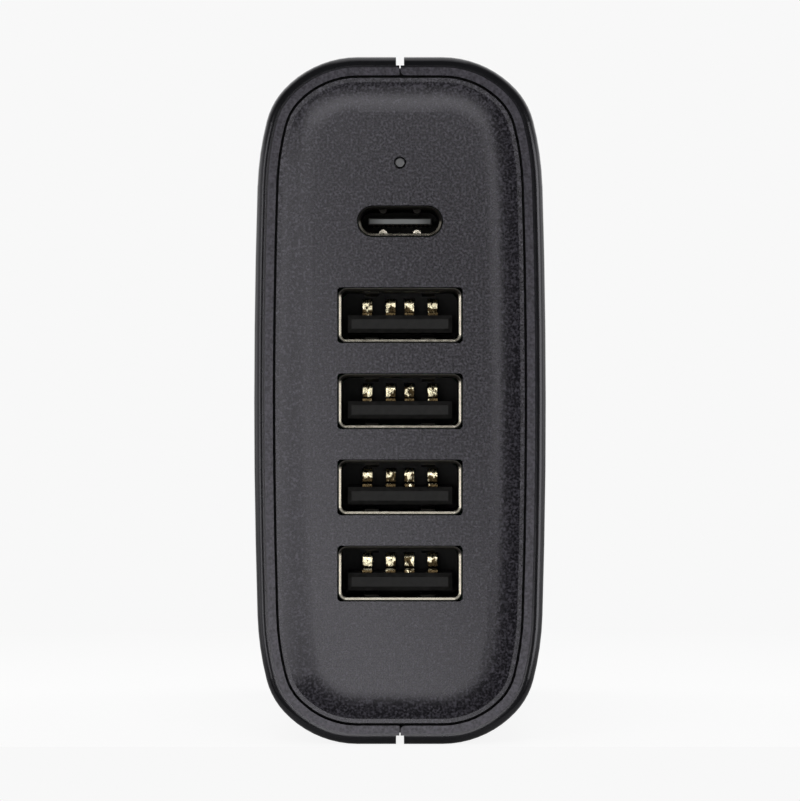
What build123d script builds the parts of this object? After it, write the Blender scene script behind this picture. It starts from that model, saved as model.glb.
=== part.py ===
"""Multi-port USB desktop charger: a tall moulded casing, five ports in front and a mains inlet behind.

Millimetres, +Z up. The origin is under the middle of the body, the ports face -Y and the inlet faces +Y.
"""

import os
from math import cos, radians, sin

from build123d import *

# Overall size of the body
BODY_WIDTH = 31.0
BODY_HEIGHT = 73.0
BODY_DEPTH = 100.0

# Upright section: flat strips at top and bottom, three arcs at each corner, barrel-shaped flanks
QUARTER_TURN = 90.0
SHOULDER_RADIUS = 10.7
SHOULDER_TURN = 47.0
CORNER_RADIUS = 7.84
HAUNCH_RADIUS = 31.7
HAUNCH_TURN = 12.6
FLANK_TURN = 1.75

# Casing walls and edges
WALL = 2.0
RIM_EDGE_RADIUS = 0.95
REAR_EDGE_RADIUS = 3.5
FIT = 0.1

# Seam between the two halves: an open joint line under a wider reveal, lapped by a lip inside
SEAM_GAP = 0.12
REVEAL_WIDTH = 0.85
REVEAL_DEPTH = 0.95
LIP_THICKNESS = 0.6
LIP_REACH = 1.2
LIP_ROOT = 1.0
SEAM_CORNER_RADIUS = 0.5

# Port panel: a pillowed plate whose flange is trapped in a groove behind the casing's rim
RIM_SETBACK = 0.4
RIM_THICKNESS = 1.5
PANEL_GAP = 0.27
PANEL_FLANGE = 0.85
PANEL_FLANGE_THICKNESS = 1.2
PANEL_LAND = 0.45
PANEL_RISE = 0.6
PANEL_STEP = 0.08
PANEL_SLOPE = 1.8
PANEL_RIDGE_RADIUS = 10.0
PANEL_WEB = 2.0
PANEL_SKIRT = 2.2

# Port places, measured up from mid-height
LED_RISE = 25.2
USB_C_RISE = 19.0
USB_C_SPACING = 9.95
USB_A_PITCH = 9.13
USB_A_COUNT = 4

# Receptacles: folded steel shells that stand on the port board, just behind the panel's face
SHEET = 0.3
MOUTH_SETBACK = 0.1
RECEPTACLE_LENGTH = 13.6
PORT_CLEARANCE = 0.1
LEAD_IN = 0.22
LEG_WIDTH = 2.0
LEG_LENGTH = 2.6

USB_A_WIDTH = 13.1
USB_A_HEIGHT = 5.72
USB_A_SHELL_CORNER = 0.9
USB_A_CUTOUT_CHAMFER = 0.25
USB_A_TONGUE_WIDTH = 11.1
USB_A_TONGUE_THICKNESS = 1.84
USB_A_TONGUE_DROP = 0.92
USB_A_TONGUE_SETBACK = 0.9
USB_A_TONGUE_CHAMFER = 0.42
USB_A_BLOCK_DEPTH = 3.6
USB_A_OUTER_CONTACT = 3.5
USB_A_INNER_CONTACT = 1.0
USB_A_CONTACT_WIDTH = 1.0
CONTACT_THICKNESS = 0.25
CONTACT_LIFT = 0.03
CONTACT_TAIL = 1.0
CONTACT_STEP = 1.6
CONTACT_STEP_DEPTH = 9.0
CONTACT_TIP_DEPTH = 2.0
CONTACT_BEND_RADIUS = 0.35
CONTACT_SLOT_FIT = 0.06

SPRING_OFFSET = 3.0
SPRING_WINDOW_WIDTH = 2.0
SPRING_WINDOW_LENGTH = 5.0
SPRING_WINDOW_DEPTH = 2.6
SPRING_WIDTH = 1.4
SPRING_DROP = 0.5
SPRING_TIP_LENGTH = 1.6
SPRING_TIP_LIFT = 0.3

USB_C_WIDTH = 8.94
USB_C_HEIGHT = 3.16
USB_C_TONGUE_WIDTH = 6.69
USB_C_TONGUE_THICKNESS = 0.7
USB_C_TONGUE_CHAMFER = 0.12
USB_C_TONGUE_SETBACK = 0.7
USB_C_BLOCK_DEPTH = 5.6
USB_C_CONTACT_COUNT = 12
USB_C_CONTACT_PITCH = 0.5
USB_C_CONTACT_WIDTH = 0.28
USB_C_CONTACT_THICKNESS = 0.1
USB_C_CONTACT_SETBACK = 0.5
DIMPLE_SPACING = 3.6
DIMPLE_RADIUS = 0.42
DIMPLE_LENGTH = 2.4
DIMPLE_DEPTH = 1.0

# Status light: a stepped clear pipe between the panel and an LED on the port board
LED_HOLE_DIAMETER = 1.3
PIPE_TIP_DIAMETER = 0.9
PIPE_TIP_SETBACK = 0.12
PIPE_STEM_DIAMETER = 2.0
PIPE_TO_LED = 0.3
LED_WIDTH = 1.6
LED_HEIGHT = 0.8
LED_THICKNESS = 0.8

# Circuit boards: the port board stands across the casing, the main board along its right-hand wall
BOARD_THICKNESS = 1.6
PORT_BOARD_SIDE_GAP = 0.9
PORT_BOARD_MARGIN = 8.0
PORT_BOARD_CHAMFER = 4.0
SLOT_GRIP = 1.2
SLOT_RIB_THICKNESS = 1.2
SLOT_RIB_HEIGHT = 12.0
BOARD_MARGIN = 7.5
BOARD_GAP = 1.2
LEAD_REACH = 1.0
HOLE_FIT = 0.2

# Posts on the right half that carry the main board, each with a pin through it
POST_INSET = 4.0
POST_WIDTH = 4.0
POST_PIN_WIDTH = 1.8
POST_PIN_REACH = 0.8

# Angled pin header that joins the two boards
LINK_PIN_COUNT = 8
LINK_PITCH = 2.54
LINK_PIN = 0.64
LINK_BODY = 2.5
LINK_EDGE = 0.5

# Mains inlet: a two-pin, figure-eight socket held between the rear wall and a bracket inside
INLET_WIDTH = 11.0
INLET_HEIGHT = 18.0
INLET_CORNER = 3.0
INLET_LENGTH = 13.5
INLET_CAVITY_DEPTH = 10.5
INLET_LOBE_RADIUS = 4.2
INLET_LOBE_SPACING = 6.2
INLET_WAIST = 7.6
INLET_FLANGE = 1.2
INLET_FLANGE_THICKNESS = 1.5
INLET_BRACKET_THICKNESS = 1.6
INLET_BRACKET_OVERHANG = 2.0
PIN_DIAMETER = 2.4
PIN_SPACING = 8.6
PIN_LENGTH = 9.0
PIN_TIP_CHAMFER = 0.6
TAIL_WIDTH = 1.2
TAIL_LENGTH = 2.0

# Power parts on the main board
PART_GAP = 1.0
FUSE_LENGTH = 8.4
FUSE_WIDTH = 4.3
FUSE_HEIGHT = 7.7
FUSE_CHAMFER = 1.0
X_CAPACITOR_LENGTH = 13.0
X_CAPACITOR_WIDTH = 6.0
X_CAPACITOR_HEIGHT = 12.0
X_CAPACITOR_CHAMFER = 0.6
BRIDGE_THICKNESS = 3.6
BRIDGE_WIDTH = 14.5
BRIDGE_HEIGHT = 10.5
BRIDGE_CHAMFER = 1.8
BRIDGE_STANDOFF = 1.5
BRIDGE_LEG_COUNT = 4
BRIDGE_LEG_PITCH = 3.8
BULK_COUNT = 2
BULK_DIAMETER = 12.5
BULK_HEIGHT = 17.0
BULK_LEAD = 0.8
BULK_LEAD_SPACING = 5.0
OUTPUT_DIAMETER = 8.0
OUTPUT_HEIGHT = 12.0
CAN_CHAMFER = 0.5

CHOKE_LEG = 3.0
CHOKE_THICKNESS = 4.0
CHOKE_COIL_BUILD = 1.2
CHOKE_COIL_LENGTH = 8.0
CHOKE_COIL_GAP = 1.0

CORE_WIDTH = 17.0
CORE_LENGTH = 25.0
CORE_THICKNESS = 6.0
CORE_LEG = 3.0
CORE_CENTRE_LEG = 5.0
BOBBIN_WALL = 0.9
BOBBIN_FLANGE_THICKNESS = 1.2
BOBBIN_HEIGHT = 15.0
WINDING_SET = 0.7
WINDING_CHAMFER = 1.0
TRANSFORMER_PIN = 0.7
TRANSFORMER_PIN_PITCH = 3.6

HEATSINK_THICKNESS = 2.0
HEATSINK_HEIGHT = 16.5
HEATSINK_FOLD = 4.0
PRIMARY_HEATSINK_LENGTH = 17.0
SECONDARY_HEATSINK_LENGTH = 16.0
SWITCH_LENGTH = 10.0
SWITCH_THICKNESS = 4.5
SWITCH_HEIGHT = 9.0
SWITCH_STANDOFF = 2.5
SWITCH_TAB_HEIGHT = 5.0
SWITCH_TAB_THICKNESS = 1.3
SWITCH_TAB_HOLE = 3.6
SWITCH_LEG_PITCH = 2.54
LEG_STRIP_WIDTH = 0.8
LEG_STRIP_THICKNESS = 0.5
RECTIFIER_THICKNESS = 2.3
RECTIFIER_WIDTH = 6.6
RECTIFIER_HEIGHT = 9.0
RECTIFIER_CHAMFER = 0.4

Y_CAPACITOR_DIAMETER = 8.0
Y_CAPACITOR_THICKNESS = 3.6
INDUCTOR_WIDTH = 6.6
INDUCTOR_HEIGHT = 4.5
INDUCTOR_CHAMFER = 1.0
OPTOCOUPLER_LENGTH = 4.6
OPTOCOUPLER_WIDTH = 6.4
OPTOCOUPLER_HEIGHT = 3.3
OPTOCOUPLER_LEAD_COUNT = 2
OPTOCOUPLER_LEAD_PITCH = 2.54
CONTROLLER_LENGTH = 4.9
CONTROLLER_WIDTH = 3.9
CONTROLLER_HEIGHT = 1.4
CONTROLLER_LEAD_COUNT = 4
CONTROLLER_LEAD_PITCH = 1.27
PORT_CHIP_LENGTH = 4.4
PORT_CHIP_WIDTH = 2.6
PORT_CHIP_HEIGHT = 0.9
PORT_CHIP_LEAD_COUNT = 4
PORT_CHIP_LEAD_PITCH = 1.0
PORT_CHIP_OFFSET = 3.0
CHIP_LEAD_WIDTH = 0.4
CHIP_LEAD_THICKNESS = 0.2
CHIP_LEAD_REACH = 1.0
CHIP_STANDOFF = 0.1

# Levels worked out from the sizes above
MID_HEIGHT = BODY_HEIGHT / 2
FRONT = -BODY_DEPTH / 2
REAR = BODY_DEPTH / 2
RIM_FACE = FRONT + RIM_SETBACK
LAND_FACE = FRONT + PANEL_RISE
GROOVE_FRONT = RIM_FACE + RIM_THICKNESS
PANEL_BACK = GROOVE_FRONT + FIT + PANEL_FLANGE_THICKNESS
GROOVE_BACK = PANEL_BACK + FIT
PANEL_INSET = WALL + PANEL_GAP
MOUTH = FRONT + MOUTH_SETBACK
PORT_BOARD_FRONT = MOUTH + RECEPTACLE_LENGTH
PORT_BOARD_BACK = PORT_BOARD_FRONT + BOARD_THICKNESS
PORT_BOARD_WIDTH = BODY_WIDTH - 2 * (WALL + PORT_BOARD_SIDE_GAP)
PORT_BOARD_HEIGHT = BODY_HEIGHT - 2 * PORT_BOARD_MARGIN
REAR_INSIDE = REAR - WALL
BRACKET_BACK = REAR_INSIDE - FIT - INLET_FLANGE_THICKNESS - FIT
BRACKET_FRONT = BRACKET_BACK - INLET_BRACKET_THICKNESS
BOARD_FACE = (BULK_HEIGHT - BOARD_THICKNESS - LEAD_REACH) / 2
BOARD_BACK = BOARD_FACE + BOARD_THICKNESS
BOARD_HEIGHT = BODY_HEIGHT - 2 * BOARD_MARGIN
USB_A_RISES = [USB_C_RISE - USB_C_SPACING - n * USB_A_PITCH for n in range(USB_A_COUNT)]

# Board places run forwards (towards the ports) and upwards from the middle of the body
BOARD_FRONT_EDGE = -(PORT_BOARD_BACK + BOARD_GAP)
BOARD_REAR_EDGE = -(BRACKET_FRONT - BOARD_GAP)
BOARD_LENGTH = BOARD_FRONT_EDGE - BOARD_REAR_EDGE
BOARD_MIDDLE = (BOARD_FRONT_EDGE + BOARD_REAR_EDGE) / 2
POST_PLACES = [
    (along, up)
    for along in (BOARD_REAR_EDGE + POST_INSET, BOARD_FRONT_EDGE - POST_INSET)
    for up in (POST_INSET - BOARD_HEIGHT / 2, BOARD_HEIGHT / 2 - POST_INSET)
]
LINK_PLACES = [(n - (LINK_PIN_COUNT - 1) / 2) * LINK_PITCH for n in range(LINK_PIN_COUNT)]
LINK_LENGTH = LINK_PIN_COUNT * LINK_PITCH
LINK_LEVEL = BOARD_BACK + LINK_BODY / 2
LINK_BACK = BOARD_FRONT_EDGE - LINK_EDGE - LINK_BODY
LINK_BEND = LINK_BACK - LINK_PIN
INLET_BACK = REAR - INLET_LENGTH
TAIL_PLACES = [(TAIL_LENGTH - INLET_BACK, side * PIN_SPACING / 2) for side in (-1, 1)]
BESIDE_INLET = INLET_HEIGHT / 2 + INLET_FLANGE + PART_GAP

# Upper row, from the rear edge forwards: fuse, bridge rectifier, bulk capacitors, power switch
FUSE_PLACE = (BOARD_REAR_EDGE + PART_GAP + FUSE_LENGTH / 2, BESIDE_INLET + FUSE_WIDTH / 2)
BRIDGE_ALONG = FUSE_PLACE[0] + FUSE_LENGTH / 2 + PART_GAP + BRIDGE_THICKNESS / 2
BULK_ALONG = BRIDGE_ALONG + BRIDGE_THICKNESS / 2 + PART_GAP + BULK_DIAMETER / 2
BULK_PLACES = [
    (BULK_ALONG, BOARD_HEIGHT / 2 - (n + 1) * PART_GAP - (n + 0.5) * BULK_DIAMETER) for n in range(BULK_COUNT)
]
BULK_END = BULK_ALONG + BULK_DIAMETER / 2 + PART_GAP
BRIDGE_PLACE = (BRIDGE_ALONG, (BULK_PLACES[0][1] + BULK_PLACES[-1][1]) / 2)
SWITCH_BACK = BOARD_HEIGHT / 2 - PART_GAP - HEATSINK_FOLD
SWITCH_PLACE = (BULK_END + PRIMARY_HEATSINK_LENGTH / 2, SWITCH_BACK - SWITCH_THICKNESS / 2)

# Lower row, from the rear edge forwards: X capacitor, choke, transformer, rectifier on its heatsink
CHOKE_PITCH = CHOKE_LEG + 2 * (CHOKE_COIL_BUILD + FIT) + CHOKE_COIL_GAP
CHOKE_COIL_WIDTH = CHOKE_LEG + 2 * (CHOKE_COIL_BUILD + FIT)
X_CAPACITOR_PLACE = (
    BOARD_REAR_EDGE + PART_GAP + X_CAPACITOR_LENGTH / 2,
    -BESIDE_INLET - X_CAPACITOR_WIDTH / 2,
)
CHOKE_BEGIN = X_CAPACITOR_PLACE[0] + X_CAPACITOR_LENGTH / 2 + PART_GAP
CHOKE_PLACE = (CHOKE_BEGIN + (CHOKE_PITCH + CHOKE_COIL_WIDTH) / 2, X_CAPACITOR_PLACE[1])
TRANSFORMER_BEGIN = CHOKE_PLACE[0] + (CHOKE_PITCH + CHOKE_COIL_WIDTH) / 2 + PART_GAP
TRANSFORMER_PLACE = (TRANSFORMER_BEGIN + CORE_WIDTH / 2, PART_GAP + (CORE_LENGTH - BOARD_HEIGHT) / 2)
RECTIFIER_BEGIN = TRANSFORMER_PLACE[0] + CORE_WIDTH / 2 + PART_GAP
RECTIFIER_PLACE = (RECTIFIER_BEGIN + RECTIFIER_THICKNESS / 2, TRANSFORMER_PLACE[1])
RECTIFIER_FRONT = RECTIFIER_BEGIN + RECTIFIER_THICKNESS

# Middle row across the isolation gap, and the output row behind the link header
MIDDLE_ROW = TRANSFORMER_PLACE[1] + CORE_LENGTH / 2 + PART_GAP + OPTOCOUPLER_WIDTH / 2 + CHIP_LEAD_REACH
CONTROLLER_PLACE = (BULK_END + CONTROLLER_LENGTH / 2, MIDDLE_ROW)
OPTOCOUPLER_PLACE = (BULK_END + CONTROLLER_LENGTH + PART_GAP + OPTOCOUPLER_LENGTH / 2, MIDDLE_ROW)
Y_CAPACITOR_PLACE = (
    OPTOCOUPLER_PLACE[0] + OPTOCOUPLER_LENGTH / 2 + PART_GAP + Y_CAPACITOR_THICKNESS / 2,
    MIDDLE_ROW,
)
OUTPUT_ROW = LINK_BEND - PART_GAP - max(OUTPUT_DIAMETER, INDUCTOR_WIDTH) / 2
INDUCTOR_RISE = (INDUCTOR_WIDTH + PART_GAP) / 2
OUTPUT_PITCH = OUTPUT_DIAMETER + PART_GAP
OUTPUT_RISES = [INDUCTOR_WIDTH + PART_GAP + (n + 0.5) * OUTPUT_PITCH for n in (0, 1)]
INDUCTOR_PLACES = [(OUTPUT_ROW, side * INDUCTOR_RISE) for side in (-1, 1)]
OUTPUT_PLACES = [(OUTPUT_ROW, side * rise) for rise in OUTPUT_RISES for side in (-1, 1)]
PORT_CHIP_PLACES = [
    (PORT_CHIP_OFFSET + PORT_CHIP_LENGTH / 2, (upper + lower) / 2)
    for upper, lower in zip(USB_A_RISES[::2], USB_A_RISES[1::2])
]

os.makedirs("parts", exist_ok=True)


def front_plane(depth, rise=0.0):
    """An upright plane that faces the ports' side, at a depth along Y and a rise from mid-height."""
    return Plane(origin=(0, depth, MID_HEIGHT + rise), x_dir=(1, 0, 0), z_dir=(0, -1, 0))


def side_plane(across, rise=0.0):
    """An upright plane that faces right, with +Y to its right."""
    return Plane(origin=(across, 0, MID_HEIGHT + rise), x_dir=(0, 1, 0), z_dir=(1, 0, 0))


def board_plane(height=0.0):
    """The main board's face, where parts stand: its x runs towards the ports and its y runs up."""
    return Plane(origin=(BOARD_FACE - height, 0, MID_HEIGHT), x_dir=(0, -1, 0), z_dir=(-1, 0, 0))


def section_arcs():
    """Half of the flat strip, then radius and turn of each arc down one side to the strip below."""
    corner = [
        (SHOULDER_RADIUS, SHOULDER_TURN),
        (CORNER_RADIUS, QUARTER_TURN - SHOULDER_TURN - HAUNCH_TURN - FLANK_TURN),
        (HAUNCH_RADIUS, HAUNCH_TURN),
    ]
    heading = 0.0
    drop = 0.0
    reach = 0.0
    for radius, turn in corner:
        start = radians(heading)
        heading += turn
        drop += radius * (cos(start) - cos(radians(heading)))
        reach += radius * (sin(radians(heading)) - sin(start))
    flank_radius = (BODY_HEIGHT / 2 - drop) / cos(radians(heading))
    flat_half = BODY_WIDTH / 2 - reach - flank_radius * (1 - sin(radians(heading)))
    return flat_half, corner + [(flank_radius, 2 * FLANK_TURN)] + corner[::-1]


def body_section(depth, inset=0.0):
    """The casing's rounded upright section at a depth, drawn inset from the outer skin."""
    flat_half, arcs = section_arcs()
    top = BODY_HEIGHT / 2 - inset
    with BuildSketch(front_plane(depth)) as outline:
        with BuildLine():
            run = Line((0, top), (flat_half, top))
            for radius, turn in arcs:
                run = JernArc(run @ 1, run % 1, radius - inset, -turn)
            Line(run @ 1, (0, -top))
            mirror(about=Plane.YZ)
        make_face()
    return outline.sketch


def seam_lip(clearance):
    """A thin band inside the top and bottom walls that crosses the seam, grown by a clearance."""
    back = REAR_INSIDE + clearance
    front = GROOVE_BACK + WALL - clearance
    reach = LIP_REACH + clearance
    with BuildPart() as lip:
        extrude(body_section(back, WALL - LIP_THICKNESS - clearance), amount=back - front)
        extrude(body_section(back, WALL), amount=back - front, mode=Mode.SUBTRACT)
        with Locations(((reach - LIP_ROOT) / 2, 0, MID_HEIGHT)):
            Box(reach + LIP_ROOT, 2 * BODY_DEPTH, BODY_HEIGHT, mode=Mode.INTERSECT)
    return lip.part


# Casing, still whole: a barrel-sided tube with a closed rear wall, a front opening for the panel,
# ribs that grip the port board and a bracket that traps the mains inlet
with BuildPart() as reveal:
    with Locations((0, 0, MID_HEIGHT)):
        Box(REVEAL_WIDTH, BODY_DEPTH, BODY_HEIGHT)
    extrude(body_section(REAR - REVEAL_DEPTH, REVEAL_DEPTH), amount=BODY_DEPTH, mode=Mode.SUBTRACT)

with BuildPart() as casing:
    extrude(body_section(REAR), amount=REAR - RIM_FACE)
    fillet(casing.faces().sort_by(Axis.Y)[-1].edges(), REAR_EDGE_RADIUS)
    fillet(casing.faces().sort_by(Axis.Y)[0].edges(), RIM_EDGE_RADIUS)
    extrude(body_section(REAR_INSIDE, WALL), amount=BODY_DEPTH, mode=Mode.SUBTRACT)
    groove = body_section(GROOVE_BACK, WALL - PANEL_FLANGE - FIT)
    extrude(groove, amount=GROOVE_BACK - GROOVE_FRONT, mode=Mode.SUBTRACT)
    with BuildSketch(front_plane(REAR)):
        RectangleRounded(INLET_WIDTH + 2 * FIT, INLET_HEIGHT + 2 * FIT, INLET_CORNER + FIT)
    extrude(amount=WALL, mode=Mode.SUBTRACT)
    with BuildSketch(front_plane(BRACKET_BACK)):
        Rectangle(BODY_WIDTH - WALL, INLET_HEIGHT + 2 * INLET_BRACKET_OVERHANG)
        RectangleRounded(
            INLET_WIDTH + 2 * FIT, INLET_HEIGHT + 2 * FIT, INLET_CORNER + FIT, mode=Mode.SUBTRACT
        )
    extrude(amount=INLET_BRACKET_THICKNESS)
    grip_inside = PORT_BOARD_WIDTH / 2 - SLOT_GRIP
    grip_outside = (BODY_WIDTH - WALL) / 2
    rib_spacing = LINK_LENGTH + 2 * PART_GAP + SLOT_RIB_HEIGHT
    for rib_back in (PORT_BOARD_FRONT - FIT, PORT_BOARD_BACK + FIT + SLOT_RIB_THICKNESS):
        with BuildSketch(front_plane(rib_back)):
            with GridLocations(grip_inside + grip_outside, rib_spacing, 2, 2):
                Rectangle(grip_outside - grip_inside, SLOT_RIB_HEIGHT)
        extrude(amount=SLOT_RIB_THICKNESS)
    add(reveal.part, mode=Mode.SUBTRACT)

# Left half: carries the lip that laps the joint from inside
with BuildPart() as left_shell:
    add(casing.part)
    split(bisect_by=Plane.YZ.offset(-SEAM_GAP / 2), keep=Keep.BOTTOM)
    add(seam_lip(0.0))
left_shell.part.label = "left_shell"
export_step(left_shell.part, "parts/left_shell.step")

# Right half: rebated for the lip, rounded where its rim meets the seam, with four posts whose pins
# hold the main board
with BuildPart() as right_shell:
    add(casing.part)
    split(bisect_by=Plane.YZ.offset(SEAM_GAP / 2), keep=Keep.TOP)
    add(seam_lip(FIT), mode=Mode.SUBTRACT)
    seam_edges = right_shell.edges().filter_by(Axis.Y).filter_by_position(Axis.X, 0, SEAM_GAP)
    fillet(seam_edges.filter_by_position(Axis.Y, RIM_FACE, GROOVE_FRONT), SEAM_CORNER_RADIUS)
    with BuildSketch(board_plane(-BOARD_THICKNESS)):
        with Locations(*POST_PLACES):
            Rectangle(POST_WIDTH, POST_WIDTH)
    extrude(amount=-((BODY_WIDTH - WALL) / 2 - BOARD_BACK))
    with BuildSketch(board_plane(-BOARD_THICKNESS)):
        with Locations(*POST_PLACES):
            Rectangle(POST_PIN_WIDTH, POST_PIN_WIDTH)
    extrude(amount=BOARD_THICKNESS + POST_PIN_REACH)
right_shell.part.label = "right_shell"
export_step(right_shell.part, "parts/right_shell.step")

# Port panel: edge land, sloped pillow with a soft ridge, trapped flange, cut-outs for the ports
with BuildPart() as port_panel:
    extrude(body_section(LAND_FACE, PANEL_INSET + PANEL_LAND), amount=PANEL_RISE)
    plateau = port_panel.faces().sort_by(Axis.Y)[0]
    chamfer(plateau.edges(), length=PANEL_SLOPE, length2=PANEL_RISE - PANEL_STEP, reference=plateau)
    fillet(port_panel.faces().sort_by(Axis.Y)[0].edges(), PANEL_RIDGE_RADIUS)
    extrude(body_section(PANEL_BACK, PANEL_INSET), amount=PANEL_BACK - LAND_FACE)
    extrude(body_section(PANEL_BACK, WALL - PANEL_FLANGE), amount=PANEL_FLANGE_THICKNESS)
    extrude(
        body_section(PANEL_BACK, PANEL_INSET + PANEL_SKIRT),
        amount=PANEL_BACK - FRONT - PANEL_WEB,
        mode=Mode.SUBTRACT,
    )
    with BuildSketch(front_plane(PANEL_BACK)):
        with Locations(*[(0, rise) for rise in USB_A_RISES]):
            cutouts = Rectangle(USB_A_WIDTH + 2 * PORT_CLEARANCE, USB_A_HEIGHT + 2 * PORT_CLEARANCE)
        chamfer(cutouts.vertices(), USB_A_CUTOUT_CHAMFER)
        with Locations((0, USB_C_RISE)):
            SlotOverall(USB_C_WIDTH + 2 * PORT_CLEARANCE, USB_C_HEIGHT + 2 * PORT_CLEARANCE)
        with Locations((0, LED_RISE)):
            Circle(LED_HOLE_DIAMETER / 2)
    extrude(amount=PANEL_BACK - FRONT, mode=Mode.SUBTRACT)
port_panel.part.label = "port_panel"
export_step(port_panel.part, "parts/port_panel.step")

# Light pipe: its shoulder seats on the panel's web, and it ends just short of the LED
with BuildPart() as light_pipe:
    web_back = FRONT + PANEL_WEB
    pipe_end = PORT_BOARD_FRONT - LED_THICKNESS - PIPE_TO_LED
    with BuildSketch(front_plane(web_back, LED_RISE)):
        Circle(PIPE_TIP_DIAMETER / 2)
    extrude(amount=PANEL_WEB - PIPE_TIP_SETBACK)
    with BuildSketch(front_plane(pipe_end, LED_RISE)):
        Circle(PIPE_STEM_DIAMETER / 2)
    extrude(amount=pipe_end - web_back)
light_pipe.part.label = "light_pipe"
export_step(light_pipe.part, "parts/light_pipe.step")

# Status LED: a surface-mounted block on the port board
with BuildPart(front_plane(PORT_BOARD_FRONT, LED_RISE)) as status_led:
    Box(LED_WIDTH, LED_HEIGHT, LED_THICKNESS, align=(Align.CENTER, Align.CENTER, Align.MIN))
status_led.part.label = "status_led"
export_step(status_led.part, "parts/status_led.step")

# USB-A receptacles, from the top one down
TONGUE_TOP = USB_A_TONGUE_THICKNESS / 2 - USB_A_TONGUE_DROP
CONTACT_LEVEL = TONGUE_TOP + CONTACT_LIFT + CONTACT_THICKNESS / 2
SHANK_LEVEL = CONTACT_LEVEL + CONTACT_STEP
CONTACT_ROW = (-USB_A_OUTER_CONTACT, -USB_A_INNER_CONTACT, USB_A_INNER_CONTACT, USB_A_OUTER_CONTACT)
BLOCK_FACE = PORT_BOARD_FRONT - USB_A_BLOCK_DEPTH
for number, rise in enumerate(USB_A_RISES, start=1):
    # Folded steel shell with a lead-in at its mouth, four spring fingers and two board legs
    with BuildPart() as usb_a_shell:
        with BuildSketch(front_plane(PORT_BOARD_FRONT, rise)):
            RectangleRounded(USB_A_WIDTH, USB_A_HEIGHT, USB_A_SHELL_CORNER)
            RectangleRounded(
                USB_A_WIDTH - 2 * SHEET,
                USB_A_HEIGHT - 2 * SHEET,
                USB_A_SHELL_CORNER - SHEET,
                mode=Mode.SUBTRACT,
            )
        extrude(amount=RECEPTACLE_LENGTH)
        mouth_wires = usb_a_shell.faces().sort_by(Axis.Y)[0].inner_wires()
        chamfer(mouth_wires[0].edges(), LEAD_IN)
        window_middle = MOUTH + SPRING_WINDOW_DEPTH + SPRING_WINDOW_LENGTH / 2
        with Locations((0, window_middle, MID_HEIGHT + rise)):
            with GridLocations(2 * SPRING_OFFSET, 0, 2, 1):
                Box(SPRING_WINDOW_WIDTH, SPRING_WINDOW_LENGTH, 2 * USB_A_HEIGHT, mode=Mode.SUBTRACT)
        root = window_middle + SPRING_WINDOW_LENGTH / 2
        tip = MOUTH + SPRING_WINDOW_DEPTH + PORT_CLEARANCE
        bend = tip + SPRING_TIP_LENGTH
        sheet_level = (USB_A_HEIGHT - SHEET) / 2
        with BuildSketch(side_plane(-SPRING_OFFSET, rise), side_plane(SPRING_OFFSET, rise)):
            with BuildLine():
                Polyline(
                    (root + SHEET, sheet_level),
                    (root, sheet_level),
                    (bend, sheet_level - SPRING_DROP),
                    (tip, sheet_level - SPRING_DROP + SPRING_TIP_LIFT),
                )
            trace(line_width=SHEET)
            mirror(about=Plane.XZ)
        extrude(amount=SPRING_WIDTH / 2, both=True)
        with BuildSketch(front_plane(PORT_BOARD_FRONT, rise)):
            with GridLocations(USB_A_WIDTH - SHEET, 0, 2, 1):
                Rectangle(SHEET, LEG_WIDTH)
        extrude(amount=-LEG_LENGTH)
    usb_a_shell.part.label = f"usb_a_shell_{number}"
    export_step(usb_a_shell.part, f"parts/usb_a_shell_{number}.step")

    # Plastic insert: a block that fills the back of the shell, with the tongue standing out of it
    with BuildPart() as usb_a_insert:
        with BuildSketch(front_plane(PORT_BOARD_FRONT, rise)) as block:
            Rectangle(USB_A_WIDTH - 2 * SHEET - FIT, USB_A_HEIGHT - 2 * SHEET - FIT)
            chamfer(block.vertices(), USB_A_SHELL_CORNER - SHEET)
        extrude(amount=USB_A_BLOCK_DEPTH)
        with BuildSketch(front_plane(BLOCK_FACE, rise - USB_A_TONGUE_DROP)):
            Rectangle(USB_A_TONGUE_WIDTH, USB_A_TONGUE_THICKNESS)
        extrude(amount=BLOCK_FACE - MOUTH - USB_A_TONGUE_SETBACK)
        chamfer(usb_a_insert.faces().sort_by(Axis.Y)[0].edges(), USB_A_TONGUE_CHAMFER)
        slot_width = USB_A_CONTACT_WIDTH + 2 * CONTACT_SLOT_FIT
        slot_height = CONTACT_THICKNESS + 2 * CONTACT_SLOT_FIT
        with BuildSketch(front_plane(PORT_BOARD_FRONT, rise + SHANK_LEVEL)):
            with Locations(*[(offset, 0) for offset in CONTACT_ROW]):
                Rectangle(slot_width, slot_height)
        extrude(amount=USB_A_BLOCK_DEPTH, mode=Mode.SUBTRACT)
    usb_a_insert.part.label = f"usb_a_insert_{number}"
    export_step(usb_a_insert.part, f"parts/usb_a_insert_{number}.step")

    # Four contacts: through the top of the block, stepped down onto the tongue and along it
    with BuildPart() as usb_a_contacts:
        with BuildSketch(*[side_plane(offset, rise) for offset in CONTACT_ROW]):
            with BuildLine():
                FilletPolyline(
                    (PORT_BOARD_BACK + CONTACT_TAIL, SHANK_LEVEL),
                    (MOUTH + CONTACT_STEP_DEPTH, SHANK_LEVEL),
                    (MOUTH + CONTACT_STEP_DEPTH, CONTACT_LEVEL),
                    (MOUTH + CONTACT_TIP_DEPTH, CONTACT_LEVEL),
                    radius=CONTACT_BEND_RADIUS,
                )
            trace(line_width=CONTACT_THICKNESS)
        extrude(amount=USB_A_CONTACT_WIDTH / 2, both=True)
    usb_a_contacts.part.label = f"usb_a_contacts_{number}"
    export_step(usb_a_contacts.part, f"parts/usb_a_contacts_{number}.step")

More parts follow.
